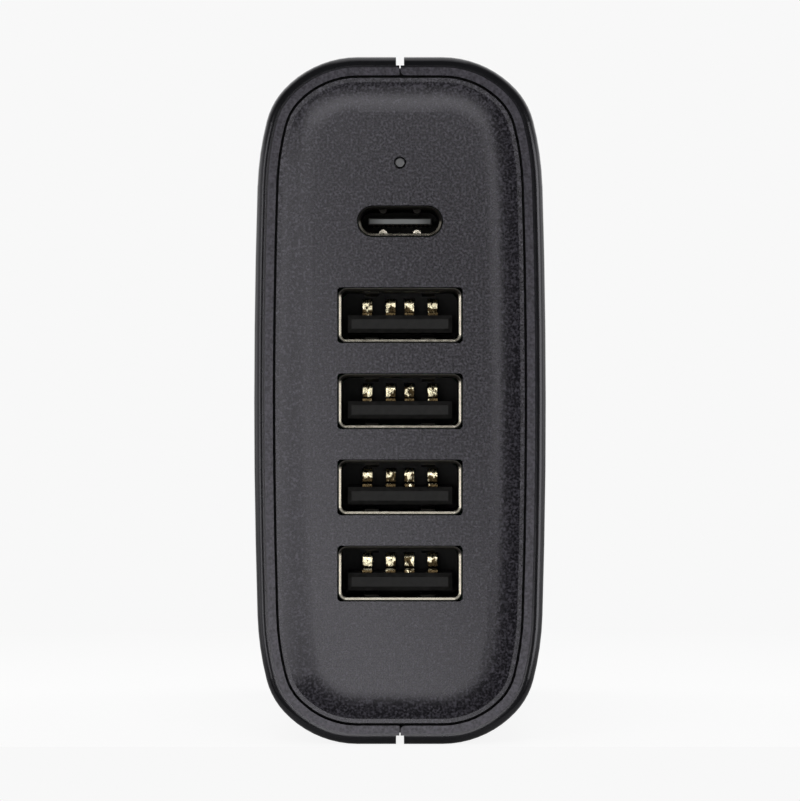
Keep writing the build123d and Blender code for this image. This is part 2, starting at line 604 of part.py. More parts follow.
# USB-C shell: a drawn oval tube with pressed dimples inside its long walls
with BuildPart() as usb_c_shell:
    with BuildSketch(front_plane(PORT_BOARD_FRONT, USB_C_RISE)):
        SlotOverall(USB_C_WIDTH, USB_C_HEIGHT)
        SlotOverall(USB_C_WIDTH - 2 * SHEET, USB_C_HEIGHT - 2 * SHEET, mode=Mode.SUBTRACT)
    extrude(amount=RECEPTACLE_LENGTH)
    chamfer(usb_c_shell.faces().sort_by(Axis.Y)[0].inner_wires()[0].edges(), LEAD_IN)
    with BuildSketch(front_plane(MOUTH + DIMPLE_DEPTH + DIMPLE_LENGTH, USB_C_RISE)):
        with GridLocations(DIMPLE_SPACING, USB_C_HEIGHT - 2 * SHEET, 2, 2):
            Circle(DIMPLE_RADIUS)
        SlotOverall(USB_C_WIDTH - SHEET, USB_C_HEIGHT - SHEET, mode=Mode.INTERSECT)
    extrude(amount=DIMPLE_LENGTH)
    with BuildSketch(front_plane(PORT_BOARD_FRONT, USB_C_RISE)):
        with GridLocations(USB_C_WIDTH - SHEET, 0, 2, 1):
            Rectangle(SHEET, LEG_WIDTH / 2)
    extrude(amount=-LEG_LENGTH)
usb_c_shell.part.label = "usb_c_shell"
export_step(usb_c_shell.part, "parts/usb_c_shell.step")

# USB-C insert: an oval block with the thin centre tongue, which is recessed for the contacts
USB_C_BLOCK_FACE = PORT_BOARD_FRONT - USB_C_BLOCK_DEPTH
USB_C_TONGUE_LENGTH = USB_C_BLOCK_FACE - MOUTH - USB_C_TONGUE_SETBACK
USB_C_CONTACT_LENGTH = USB_C_TONGUE_LENGTH - USB_C_CONTACT_SETBACK
USB_C_CONTACT_SPACING = USB_C_TONGUE_THICKNESS - USB_C_CONTACT_THICKNESS
with BuildPart() as usb_c_insert:
    with BuildSketch(front_plane(PORT_BOARD_FRONT, USB_C_RISE)):
        SlotOverall(USB_C_WIDTH - 2 * SHEET - FIT, USB_C_HEIGHT - 2 * SHEET - FIT)
    extrude(amount=USB_C_BLOCK_DEPTH)
    with BuildSketch(front_plane(USB_C_BLOCK_FACE, USB_C_RISE)):
        Rectangle(USB_C_TONGUE_WIDTH, USB_C_TONGUE_THICKNESS)
    extrude(amount=USB_C_TONGUE_LENGTH)
    chamfer(usb_c_insert.faces().sort_by(Axis.Y)[0].edges(), USB_C_TONGUE_CHAMFER)
    with BuildSketch(front_plane(USB_C_BLOCK_FACE, USB_C_RISE)):
        with GridLocations(0, USB_C_CONTACT_SPACING, 1, 2):
            Rectangle(USB_C_CONTACT_COUNT * USB_C_CONTACT_PITCH, USB_C_CONTACT_THICKNESS)
    extrude(amount=USB_C_CONTACT_LENGTH, mode=Mode.SUBTRACT)
usb_c_insert.part.label = "usb_c_insert"
export_step(usb_c_insert.part, "parts/usb_c_insert.step")

# USB-C contacts: flat strips that lie flush in both faces of the tongue
with BuildPart() as usb_c_contacts:
    with BuildSketch(front_plane(USB_C_BLOCK_FACE, USB_C_RISE)):
        with GridLocations(USB_C_CONTACT_PITCH, USB_C_CONTACT_SPACING, USB_C_CONTACT_COUNT, 2):
            Rectangle(USB_C_CONTACT_WIDTH, USB_C_CONTACT_THICKNESS)
    extrude(amount=USB_C_CONTACT_LENGTH)
usb_c_contacts.part.label = "usb_c_contacts"
export_step(usb_c_contacts.part, "parts/usb_c_contacts.step")

# Port board: stands across the casing, slotted for the receptacles' legs and contacts
with BuildPart() as port_board:
    with BuildSketch(front_plane(PORT_BOARD_BACK)) as port_board_outline:
        Rectangle(PORT_BOARD_WIDTH, PORT_BOARD_HEIGHT)
        chamfer(port_board_outline.vertices(), PORT_BOARD_CHAMFER)
        for rise in USB_A_RISES:
            with Locations((0, rise)):
                with GridLocations(USB_A_WIDTH - SHEET, 0, 2, 1):
                    Rectangle(SHEET + HOLE_FIT, LEG_WIDTH + HOLE_FIT, mode=Mode.SUBTRACT)
            with Locations((0, rise + SHANK_LEVEL)):
                Rectangle(
                    2 * USB_A_OUTER_CONTACT + USB_A_CONTACT_WIDTH + HOLE_FIT,
                    CONTACT_THICKNESS + HOLE_FIT,
                    mode=Mode.SUBTRACT,
                )
        with Locations((0, USB_C_RISE)):
            with GridLocations(USB_C_WIDTH - SHEET, 0, 2, 1):
                Rectangle(SHEET + HOLE_FIT, LEG_WIDTH / 2 + HOLE_FIT, mode=Mode.SUBTRACT)
        with Locations(*[(LINK_LEVEL, up) for up in LINK_PLACES]):
            Rectangle(LINK_PIN + HOLE_FIT, LINK_PIN + HOLE_FIT, mode=Mode.SUBTRACT)
    extrude(amount=BOARD_THICKNESS)
port_board.part.label = "port_board"
export_step(port_board.part, "parts/port_board.step")

# Main board: sits on the right half's posts, with holes for their pins and for leads
BOBBIN_PIN_ROW = CORE_LENGTH / 2 - CORE_LEG - BOBBIN_FLANGE_THICKNESS / 2 - FIT
BOBBIN_PIN_PLACES = [
    (TRANSFORMER_PLACE[0] + n * TRANSFORMER_PIN_PITCH, TRANSFORMER_PLACE[1] + side * BOBBIN_PIN_ROW)
    for n in (-1, 0, 1)
    for side in (-1, 1)
]
BULK_LEAD_PLACES = [
    (along + side * BULK_LEAD_SPACING / 2, up) for along, up in BULK_PLACES for side in (-1, 1)
]
LINK_HOLE_PLACES = [(LINK_BEND + LINK_PIN / 2, up) for up in LINK_PLACES]
with BuildPart() as main_board:
    with BuildSketch(board_plane()):
        with Locations((BOARD_MIDDLE, 0)):
            Rectangle(BOARD_LENGTH, BOARD_HEIGHT)
        for places, lead in (
            (POST_PLACES, POST_PIN_WIDTH),
            (BULK_LEAD_PLACES, BULK_LEAD),
            (TAIL_PLACES, TAIL_WIDTH),
            (BOBBIN_PIN_PLACES, TRANSFORMER_PIN),
            (LINK_HOLE_PLACES, LINK_PIN),
        ):
            with Locations(*places):
                Rectangle(lead + HOLE_FIT, lead + HOLE_FIT, mode=Mode.SUBTRACT)
    extrude(amount=-BOARD_THICKNESS)
main_board.part.label = "main_board"
export_step(main_board.part, "parts/main_board.step")

# Link header: a plastic strip at the front edge of the main board's back, and its angled pins
with BuildPart() as link_header:
    with BuildSketch(board_plane(-BOARD_THICKNESS)):
        with Locations((LINK_BACK + LINK_BODY / 2, 0)):
            Rectangle(LINK_BODY, LINK_LENGTH)
    extrude(amount=-LINK_BODY)
    with BuildSketch(front_plane(-LINK_BACK)):
        with Locations(*[(LINK_LEVEL, up) for up in LINK_PLACES]):
            Rectangle(LINK_PIN + FIT, LINK_PIN + FIT)
    extrude(amount=LINK_BODY, mode=Mode.SUBTRACT)
link_header.part.label = "link_header"
export_step(link_header.part, "parts/link_header.step")

with BuildPart() as link_pins:
    link_end = -PORT_BOARD_FRONT + LEAD_REACH
    with BuildSketch(front_plane(-LINK_BEND)):
        with Locations(*[(LINK_LEVEL, up) for up in LINK_PLACES]):
            Rectangle(LINK_PIN, LINK_PIN)
    extrude(amount=link_end - LINK_BEND)
    with BuildSketch(board_plane(LEAD_REACH)):
        with Locations(*LINK_HOLE_PLACES):
            Rectangle(LINK_PIN, LINK_PIN)
    extrude(amount=-(LEAD_REACH + LINK_LEVEL - BOARD_FACE))
link_pins.part.label = "link_pins"
export_step(link_pins.part, "parts/link_pins.step")

# Mains inlet: a moulded socket with a figure-eight cavity and a flange inside the rear wall
with BuildPart() as inlet_body:
    with BuildSketch(front_plane(REAR)):
        RectangleRounded(INLET_WIDTH, INLET_HEIGHT, INLET_CORNER)
    extrude(amount=INLET_LENGTH)
    with BuildSketch(front_plane(REAR_INSIDE - FIT)):
        Rectangle(INLET_WIDTH + 2 * INLET_FLANGE, INLET_HEIGHT + 2 * INLET_FLANGE)
    extrude(amount=INLET_FLANGE_THICKNESS)
    with BuildSketch(front_plane(REAR)):
        with GridLocations(0, INLET_LOBE_SPACING, 1, 2):
            Circle(INLET_LOBE_RADIUS)
        Rectangle(INLET_WAIST, INLET_LOBE_SPACING)
    extrude(amount=INLET_CAVITY_DEPTH, mode=Mode.SUBTRACT)
    with BuildSketch(front_plane(REAR)):
        with GridLocations(0, PIN_SPACING, 1, 2):
            Rectangle(TAIL_WIDTH + FIT, TAIL_WIDTH + FIT)
    extrude(amount=INLET_LENGTH, mode=Mode.SUBTRACT)
inlet_body.part.label = "inlet_body"
export_step(inlet_body.part, "parts/inlet_body.step")

# Inlet pins: seated on the cavity's floor, with square tails that turn into the main board
with BuildPart() as inlet_pins:
    cavity_floor = REAR - INLET_CAVITY_DEPTH
    with BuildSketch(front_plane(cavity_floor + PIN_LENGTH)):
        with GridLocations(0, PIN_SPACING, 1, 2):
            Circle(PIN_DIAMETER / 2)
    extrude(amount=PIN_LENGTH)
    chamfer(inlet_pins.faces().group_by(Axis.Y)[-1].edges(), PIN_TIP_CHAMFER)
    with BuildSketch(front_plane(cavity_floor)):
        with GridLocations(0, PIN_SPACING, 1, 2):
            Rectangle(TAIL_WIDTH, TAIL_WIDTH)
    extrude(amount=cavity_floor - INLET_BACK + TAIL_LENGTH + TAIL_WIDTH / 2)
    with BuildSketch(side_plane(0)):
        with Locations(*[(-along, up) for along, up in TAIL_PLACES]):
            Rectangle(TAIL_WIDTH, TAIL_WIDTH)
    extrude(amount=BOARD_BACK + LEAD_REACH)
inlet_pins.part.label = "inlet_pins"
export_step(inlet_pins.part, "parts/inlet_pins.step")


def standing_block(place, length, width, height, standoff=0.0):
    """A box on the main board: it runs forwards, upwards and then out from the board."""
    with Locations((*place, standoff)):
        Box(length, width, height, align=(Align.CENTER, Align.CENTER, Align.MIN))


def capacitor_can(place, diameter, height):
    """An upright aluminium can with a bevelled crown."""
    with BuildSketch(board_plane()) as base:
        with Locations(place):
            Circle(diameter / 2)
    can = extrude(base.sketch, amount=height)
    chamfer(can.faces().sort_by(Axis.X)[0].edges(), CAN_CHAMFER)


def gull_wing_chip(plane, place, length, width, height, leads_a_side, lead_pitch):
    """A flat moulded chip on two rows of feet, placed on a board's plane."""
    with BuildPart(plane) as chip:
        standing_block(place, length, width, height, CHIP_STANDOFF)
        with Locations((*place, 0)):
            with GridLocations(lead_pitch, width + CHIP_LEAD_REACH, leads_a_side, 2):
                Box(
                    CHIP_LEAD_WIDTH,
                    CHIP_LEAD_REACH,
                    CHIP_STANDOFF + CHIP_LEAD_THICKNESS,
                    align=(Align.CENTER, Align.CENTER, Align.MIN),
                )
    return chip


# Fuse: a radial fuse in a moulded box with bevelled corners
with BuildPart(board_plane()) as fuse:
    standing_block(FUSE_PLACE, FUSE_LENGTH, FUSE_WIDTH, FUSE_HEIGHT)
    chamfer(fuse.edges().filter_by(Axis.X), FUSE_CHAMFER)
fuse.part.label = "fuse"
export_step(fuse.part, "parts/fuse.step")

# X capacitor: a potted film capacitor in a square box
with BuildPart(board_plane()) as x_capacitor:
    standing_block(X_CAPACITOR_PLACE, X_CAPACITOR_LENGTH, X_CAPACITOR_WIDTH, X_CAPACITOR_HEIGHT)
    chamfer(x_capacitor.faces().sort_by(Axis.X)[0].edges(), X_CAPACITOR_CHAMFER)
x_capacitor.part.label = "x_capacitor"
export_step(x_capacitor.part, "parts/x_capacitor.step")

# Common-mode choke: a square ferrite frame that lies flat, with a coil round each of two legs
CHOKE_RISE = CHOKE_COIL_BUILD + FIT
with BuildPart() as choke_core:
    with BuildSketch(board_plane(CHOKE_RISE)):
        with Locations(CHOKE_PLACE):
            Rectangle(CHOKE_PITCH + CHOKE_LEG, CHOKE_COIL_LENGTH + 2 * (FIT + CHOKE_LEG))
            Rectangle(CHOKE_PITCH - CHOKE_LEG, CHOKE_COIL_LENGTH + 2 * FIT, mode=Mode.SUBTRACT)
    extrude(amount=CHOKE_THICKNESS)
choke_core.part.label = "choke_core"
export_step(choke_core.part, "parts/choke_core.step")

CHOKE_MIDDLE = Plane(
    origin=(BOARD_FACE - CHOKE_RISE - CHOKE_THICKNESS / 2, -CHOKE_PLACE[0], MID_HEIGHT + CHOKE_PLACE[1]),
    x_dir=(0, -1, 0),
    z_dir=(0, 0, -1),
)
with BuildPart() as choke_windings:
    with BuildSketch(CHOKE_MIDDLE):
        with GridLocations(CHOKE_PITCH, 0, 2, 1):
            Rectangle(CHOKE_COIL_WIDTH, CHOKE_THICKNESS + 2 * CHOKE_RISE)
            Rectangle(CHOKE_LEG + FIT, CHOKE_THICKNESS + FIT, mode=Mode.SUBTRACT)
    extrude(amount=CHOKE_COIL_LENGTH / 2, both=True)
choke_windings.part.label = "choke_windings"
export_step(choke_windings.part, "parts/choke_windings.step")

# Bridge rectifier: an upright moulded slab with one bevelled corner, on four flat legs
with BuildPart(board_plane()) as bridge_rectifier:
    standing_block(BRIDGE_PLACE, BRIDGE_THICKNESS, BRIDGE_WIDTH, BRIDGE_HEIGHT, BRIDGE_STANDOFF)
    top_corner = bridge_rectifier.edges().filter_by(Axis.Y).group_by(Axis.X)[0].sort_by(Axis.Z)[-1]
    chamfer(top_corner, BRIDGE_CHAMFER)
    with Locations(BRIDGE_PLACE):
        with GridLocations(0, BRIDGE_LEG_PITCH, 1, BRIDGE_LEG_COUNT):
            standing_block((0, 0), LEG_STRIP_THICKNESS, LEG_STRIP_WIDTH, BRIDGE_STANDOFF)
bridge_rectifier.part.label = "bridge_rectifier"
export_step(bridge_rectifier.part, "parts/bridge_rectifier.step")

# Bulk capacitors: tall cans with leads through the main board
for number, place in enumerate(BULK_PLACES, start=1):
    with BuildPart() as bulk_capacitor:
        capacitor_can(place, BULK_DIAMETER, BULK_HEIGHT)
        with BuildSketch(board_plane()):
            with Locations(place):
                with GridLocations(BULK_LEAD_SPACING, 0, 2, 1):
                    Rectangle(BULK_LEAD, BULK_LEAD)
        extrude(amount=-(BOARD_THICKNESS + LEAD_REACH))
    bulk_capacitor.part.label = f"bulk_capacitor_{number}"
    export_step(bulk_capacitor.part, f"parts/bulk_capacitor_{number}.step")

# Transformer core: two E-shaped ferrite halves, butted leg to leg
WINDOW = (CORE_WIDTH - CORE_CENTRE_LEG) / 2 - CORE_LEG
CORE_RISE = (BOBBIN_HEIGHT - CORE_THICKNESS) / 2
with BuildPart() as transformer_core:
    with BuildSketch(board_plane(CORE_RISE)):
        with Locations(TRANSFORMER_PLACE):
            Rectangle(CORE_WIDTH, CORE_LENGTH)
            with GridLocations(CORE_CENTRE_LEG + WINDOW, 0, 2, 1):
                Rectangle(WINDOW, CORE_LENGTH - 2 * CORE_LEG, mode=Mode.SUBTRACT)
    extrude(amount=CORE_THICKNESS)
    split(bisect_by=Plane.XY.offset(MID_HEIGHT + TRANSFORMER_PLACE[1]), keep=Keep.BOTH)
transformer_core.part.label = "transformer_core"
export_step(transformer_core.part, "parts/transformer_core.step")

# Bobbin: a square tube on the centre leg, with end flanges that stand on the board
BOBBIN_PLANE = Plane(
    origin=(BOARD_FACE - BOBBIN_HEIGHT / 2, -TRANSFORMER_PLACE[0], MID_HEIGHT + TRANSFORMER_PLACE[1]),
    x_dir=(0, -1, 0),
    z_dir=(0, 0, -1),
)
BOBBIN_LENGTH = CORE_LENGTH - 2 * (CORE_LEG + FIT)
BOBBIN_WIDTH = CORE_CENTRE_LEG + 2 * WINDOW - 2 * FIT
BOBBIN_BAY = BOBBIN_LENGTH / 2 - BOBBIN_FLANGE_THICKNESS
TUBE_WIDTH = CORE_CENTRE_LEG + 2 * FIT + 2 * BOBBIN_WALL
TUBE_HEIGHT = CORE_THICKNESS + 2 * FIT + 2 * BOBBIN_WALL
with BuildPart() as transformer_bobbin:
    with BuildSketch(BOBBIN_PLANE):
        Rectangle(TUBE_WIDTH, TUBE_HEIGHT)
    extrude(amount=BOBBIN_LENGTH / 2, both=True)
    with BuildSketch(BOBBIN_PLANE.offset(BOBBIN_BAY), BOBBIN_PLANE.offset(-BOBBIN_LENGTH / 2)):
        Rectangle(BOBBIN_WIDTH, BOBBIN_HEIGHT)
    extrude(amount=BOBBIN_FLANGE_THICKNESS)
    with BuildSketch(BOBBIN_PLANE):
        Rectangle(CORE_CENTRE_LEG + 2 * FIT, CORE_THICKNESS + 2 * FIT)
    extrude(amount=BOBBIN_LENGTH / 2, both=True, mode=Mode.SUBTRACT)
transformer_bobbin.part.label = "transformer_bobbin"
export_step(transformer_bobbin.part, "parts/transformer_bobbin.step")

# Winding: taped coils between the flanges
with BuildPart() as transformer_winding:
    with BuildSketch(BOBBIN_PLANE) as coil:
        Rectangle(BOBBIN_WIDTH - 2 * WINDING_SET, BOBBIN_HEIGHT - 2 * WINDING_SET)
        chamfer(coil.vertices(), WINDING_CHAMFER)
        Rectangle(TUBE_WIDTH + FIT, TUBE_HEIGHT + FIT, mode=Mode.SUBTRACT)
    extrude(amount=BOBBIN_BAY - FIT, both=True)
transformer_winding.part.label = "transformer_winding"
export_step(transformer_winding.part, "parts/transformer_winding.step")

# Transformer pins: from the bobbin's flanges through the board
with BuildPart() as transformer_pins:
    with BuildSketch(board_plane()):
        with Locations(*BOBBIN_PIN_PLACES):
            Rectangle(TRANSFORMER_PIN, TRANSFORMER_PIN)
    extrude(amount=-(BOARD_THICKNESS + LEAD_REACH))
transformer_pins.part.label = "transformer_pins"
export_step(transformer_pins.part, "parts/transformer_pins.step")

# Power switch: a moulded body with a holed metal tab, its back flat on the primary heatsink
TAB_BASE = SWITCH_STANDOFF + SWITCH_HEIGHT
TAB_PLANE = Plane(
    origin=(BOARD_FACE - TAB_BASE - SWITCH_TAB_HEIGHT / 2, -SWITCH_PLACE[0], MID_HEIGHT + SWITCH_BACK)
)
with BuildPart(board_plane()) as primary_switch:
    standing_block(SWITCH_PLACE, SWITCH_LENGTH, SWITCH_THICKNESS, SWITCH_HEIGHT, SWITCH_STANDOFF)
    tab_place = (SWITCH_PLACE[0], SWITCH_BACK - SWITCH_TAB_THICKNESS / 2)
    standing_block(tab_place, SWITCH_LENGTH, SWITCH_TAB_THICKNESS, SWITCH_TAB_HEIGHT, TAB_BASE)
    with Locations(SWITCH_PLACE):
        with GridLocations(SWITCH_LEG_PITCH, 0, 3, 1):
            standing_block((0, 0), LEG_STRIP_WIDTH, LEG_STRIP_THICKNESS, SWITCH_STANDOFF)
    with BuildSketch(TAB_PLANE):
        Circle(SWITCH_TAB_HOLE / 2)
    extrude(amount=-SWITCH_TAB_THICKNESS, mode=Mode.SUBTRACT)
primary_switch.part.label = "primary_switch"
export_step(primary_switch.part, "parts/primary_switch.step")

# Primary heatsink: a folded aluminium plate behind the switch
FOLD_BASE = HEATSINK_HEIGHT - HEATSINK_THICKNESS
with BuildPart(board_plane()) as primary_heatsink:
    plate_place = (SWITCH_PLACE[0], SWITCH_BACK + HEATSINK_THICKNESS / 2)
    fold_place = (SWITCH_PLACE[0], SWITCH_BACK + HEATSINK_FOLD / 2)
    standing_block(plate_place, PRIMARY_HEATSINK_LENGTH, HEATSINK_THICKNESS, HEATSINK_HEIGHT)
    standing_block(fold_place, PRIMARY_HEATSINK_LENGTH, HEATSINK_FOLD, HEATSINK_THICKNESS, FOLD_BASE)
primary_heatsink.part.label = "primary_heatsink"
export_step(primary_heatsink.part, "parts/primary_heatsink.step")

# Secondary rectifier, flat against its own folded heatsink
with BuildPart(board_plane()) as rectifier:
    standing_block(RECTIFIER_PLACE, RECTIFIER_THICKNESS, RECTIFIER_WIDTH, RECTIFIER_HEIGHT)
    chamfer(rectifier.faces().sort_by(Axis.X)[0].edges(), RECTIFIER_CHAMFER)
rectifier.part.label = "rectifier"
export_step(rectifier.part, "parts/rectifier.step")

with BuildPart(board_plane()) as secondary_heatsink:
    plate_place = (RECTIFIER_FRONT + HEATSINK_THICKNESS / 2, RECTIFIER_PLACE[1])
    fold_place = (RECTIFIER_FRONT + HEATSINK_FOLD / 2, RECTIFIER_PLACE[1])
    standing_block(plate_place, HEATSINK_THICKNESS, SECONDARY_HEATSINK_LENGTH, HEATSINK_HEIGHT)
    standing_block(fold_place, HEATSINK_FOLD, SECONDARY_HEATSINK_LENGTH, HEATSINK_THICKNESS, FOLD_BASE)
secondary_heatsink.part.label = "secondary_heatsink"
export_step(secondary_heatsink.part, "parts/secondary_heatsink.step")

# Output capacitors: a row of small cans behind the ports
for number, place in enumerate(OUTPUT_PLACES, start=1):
    with BuildPart() as output_capacitor:
        capacitor_can(place, OUTPUT_DIAMETER, OUTPUT_HEIGHT)
    output_capacitor.part.label = f"output_capacitor_{number}"
    export_step(output_capacitor.part, f"parts/output_capacitor_{number}.step")

# Inductors: moulded square blocks with bevelled corners
for number, place in enumerate(INDUCTOR_PLACES, start=1):
    with BuildPart(board_plane()) as inductor:
        standing_block(place, INDUCTOR_WIDTH, INDUCTOR_WIDTH, INDUCTOR_HEIGHT)
        chamfer(inductor.edges().filter_by(Axis.X), INDUCTOR_CHAMFER)
    inductor.part.label = f"inductor_{number}"
    export_step(inductor.part, f"parts/inductor_{number}.step")

# Y capacitor: a ceramic disc on edge, bridging the isolation gap
DISC_PLANE = Plane(
    origin=(
        BOARD_FACE - Y_CAPACITOR_DIAMETER / 2,
        -Y_CAPACITOR_PLACE[0],
        MID_HEIGHT + Y_CAPACITOR_PLACE[1],
    ),
    x_dir=(0, 0, 1),
    z_dir=(0, -1, 0),
)
with BuildPart() as y_capacitor:
    with BuildSketch(DISC_PLANE):
        Circle(Y_CAPACITOR_DIAMETER / 2)
    extrude(amount=Y_CAPACITOR_THICKNESS / 2, both=True)
y_capacitor.part.label = "y_capacitor"
export_step(y_capacitor.part, "parts/y_capacitor.step")

# Optocoupler and controller chip on the main board, port chips on the back of the port board
optocoupler = gull_wing_chip(
    board_plane(),
    OPTOCOUPLER_PLACE,
    OPTOCOUPLER_LENGTH,
    OPTOCOUPLER_WIDTH,
    OPTOCOUPLER_HEIGHT,
    OPTOCOUPLER_LEAD_COUNT,
    OPTOCOUPLER_LEAD_PITCH,
)
optocoupler.part.label = "optocoupler"
export_step(optocoupler.part, "parts/optocoupler.step")

controller_chip = gull_wing_chip(
    board_plane(),
    CONTROLLER_PLACE,
    CONTROLLER_LENGTH,
    CONTROLLER_WIDTH,
    CONTROLLER_HEIGHT,
    CONTROLLER_LEAD_COUNT,
    CONTROLLER_LEAD_PITCH,
)
controller_chip.part.label = "controller_chip"
export_step(controller_chip.part, "parts/controller_chip.step")

PORT_BOARD_REAR_PLANE = Plane(
    origin=(0, PORT_BOARD_BACK, MID_HEIGHT), x_dir=(-1, 0, 0), z_dir=(0, 1, 0)
)
for number, place in enumerate(PORT_CHIP_PLACES, start=1):
    port_controller = gull_wing_chip(
        PORT_BOARD_REAR_PLANE,
        place,
        PORT_CHIP_LENGTH,
        PORT_CHIP_WIDTH,
        PORT_CHIP_HEIGHT,
        PORT_CHIP_LEAD_COUNT,
        PORT_CHIP_LEAD_PITCH,
    )
    port_controller.part.label = f"port_controller_{number}"
    export_step(port_controller.part, f"parts/port_controller_{number}.step")
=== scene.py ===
from math import cos, pi, radians, sin, tan

import bmesh
import bpy
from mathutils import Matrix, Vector


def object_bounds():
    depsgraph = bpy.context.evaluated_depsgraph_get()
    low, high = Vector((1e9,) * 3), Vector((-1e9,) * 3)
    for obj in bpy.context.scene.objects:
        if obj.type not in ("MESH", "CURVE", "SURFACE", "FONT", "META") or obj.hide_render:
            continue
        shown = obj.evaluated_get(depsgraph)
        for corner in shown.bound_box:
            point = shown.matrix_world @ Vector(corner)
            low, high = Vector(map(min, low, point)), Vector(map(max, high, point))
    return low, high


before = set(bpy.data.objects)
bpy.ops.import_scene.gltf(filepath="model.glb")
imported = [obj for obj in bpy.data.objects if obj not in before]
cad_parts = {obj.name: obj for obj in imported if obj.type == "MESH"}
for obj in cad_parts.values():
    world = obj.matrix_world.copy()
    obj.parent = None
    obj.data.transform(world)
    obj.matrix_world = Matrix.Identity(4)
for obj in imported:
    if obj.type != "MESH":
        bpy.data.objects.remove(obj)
cad_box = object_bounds()


# Main board and port board: glass-fibre laminate under a green solder mask. The main board stands on
# the right half's posts, and ribs in the casing grip the port board across the front.
class Signal:
    """A socket of a finish: an expression on it adds the Math nodes that work it out."""

    def __init__(self, finish, socket):
        self.finish = finish
        self.socket = socket

    def __add__(self, other):
        return self.finish.math("ADD", self, other)

    def __radd__(self, other):
        return self.finish.math("ADD", other, self)

    def __sub__(self, other):
        return self.finish.math("SUBTRACT", self, other)

    def __rsub__(self, other):
        return self.finish.math("SUBTRACT", other, self)

    def __mul__(self, other):
        return self.finish.math("MULTIPLY", self, other)

    def __rmul__(self, other):
        return self.finish.math("MULTIPLY", other, self)

    def __mod__(self, other):
        return self.finish.math("FLOORED_MODULO", self, other)

    def __rmod__(self, other):
        return self.finish.math("FLOORED_MODULO", other, self)

    def __gt__(self, other):
        return self.finish.math("GREATER_THAN", self, other)

    def __lt__(self, other):
        return self.finish.math("LESS_THAN", self, other)

    def __abs__(self):
        return self.finish.math("ABSOLUTE", self)


class Finish:
    """The node tree of a material or world; node() adds a node, sets it up, then fills its sockets."""

    USUAL_NOISE = (0.3, 0.7)

    def __init__(self, owner):
        owner.use_nodes = True
        self.owner = owner
        self.tree = owner.node_tree
        self.tree.nodes.clear()

    def node(self, kind, settings, sockets, output=0):
        made = self.tree.nodes.new(kind)
        for name, value in settings.items():
            setattr(made, name, value)
        for name, value in sockets.items():
            socket = next(s for s in made.inputs if name in (s.identifier, s.name))
            if isinstance(value, Signal):
                self.tree.links.new(value.socket, socket)
            elif socket.type == "RGBA":
                socket.default_value = (*value, 1.0)
            else:
                socket.default_value = value
        if not made.outputs:
            return None
        if isinstance(output, int):
            return Signal(self, made.outputs[output])
        return Signal(self, next(s for s in made.outputs if output in (s.identifier, s.name)))

    def math(self, operation, *values):
        sockets = dict(zip(("Value", "Value_001"), values))
        return self.node("ShaderNodeMath", {"operation": operation}, sockets)

    def vector_math(self, operation, output, *values):
        sockets = dict(zip(("Vector", "Vector_001"), values))
        return self.node("ShaderNodeVectorMath", {"operation": operation}, sockets, output)

    def place(self, stretch=(1.0, 1.0, 1.0)):
        spot = self.node("ShaderNodeTexCoord", {}, {}, "Object")
        return self.node("ShaderNodeMapping", {}, {"Vector": spot, "Scale": stretch})

    def along(self, axis):
        return self.node("ShaderNodeSeparateXYZ", {}, {"Vector": self.place()}, axis)

    def noise(self, scale, detail=2.0, stretch=(1.0, 1.0, 1.0)):
        """A noise with about as many cells to a metre as its scale says."""
        values = {"Vector": self.place(stretch), "Scale": scale, "Detail": detail}
        return self.node("ShaderNodeTexNoise", {}, values)

    def spread(self, value, low, high, to_low=0.0, to_high=1.0):
        values = {"Value": value, "From Min": low, "From Max": high, "To Min": to_low, "To Max": to_high}
        return self.node("ShaderNodeMapRange", {"clamp": True}, values)

    def vary(self, noise, low, high):
        """Spreads a noise, which seldom leaves USUAL_NOISE, between two values."""
        return self.spread(noise, *self.USUAL_NOISE, low, high)

    def blend(self, share, first, second):
        values = {"Factor_Float": share, "A_Color": first, "B_Color": second}
        return self.node("ShaderNodeMix", {"data_type": "RGBA"}, values, "Result_Color")

    def relief(self, height, depth):
        return self.node("ShaderNodeBump", {}, {"Height": height, "Distance": depth})

    def surface(self, **sockets):
        values = {name.replace("_", " "): value for name, value in sockets.items()}
        shader = self.node("ShaderNodeBsdfPrincipled", {}, values)
        self.node("ShaderNodeOutputMaterial", {}, {"Surface": shader})


def paint(finish, *names):
    """Gives CAD nodes a finish, in the one material slot that each has."""
    for name in names:
        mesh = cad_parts[name].data
        mesh.materials.clear()
        mesh.materials.append(finish.owner)


MASK_GREEN = (0.012, 0.085, 0.036)
TRACK_GREEN = (0.03, 0.17, 0.075)
solder_mask = Finish(bpy.data.materials.new("solder_mask"))
weave = solder_mask.noise(2600.0, 1.0)
cells = solder_mask.node(
    "ShaderNodeTexVoronoi",
    {"feature": "DISTANCE_TO_EDGE", "distance": "CHEBYCHEV"},
    {"Vector": solder_mask.place(), "Scale": 210.0},
)
tracks = solder_mask.spread(cells, 0.04, 0.07)
solder_mask.surface(
    Base_Color=solder_mask.blend(tracks, TRACK_GREEN, MASK_GREEN),
    Roughness=solder_mask.vary(weave, 0.24, 0.4),
    Normal=solder_mask.relief(tracks, -0.00003),
)
paint(solder_mask, "main_board", "port_board")


# Chips, rectifiers, the power switch and the bobbin: black moulding compound, satin from the mould.
# They are soldered to the boards, and the bobbin carries the transformer's winding.
def numbered(name, count):
    """The names of like pieces, which are numbered from 1."""
    return [f"{name}_{number}" for number in range(1, count + 1)]


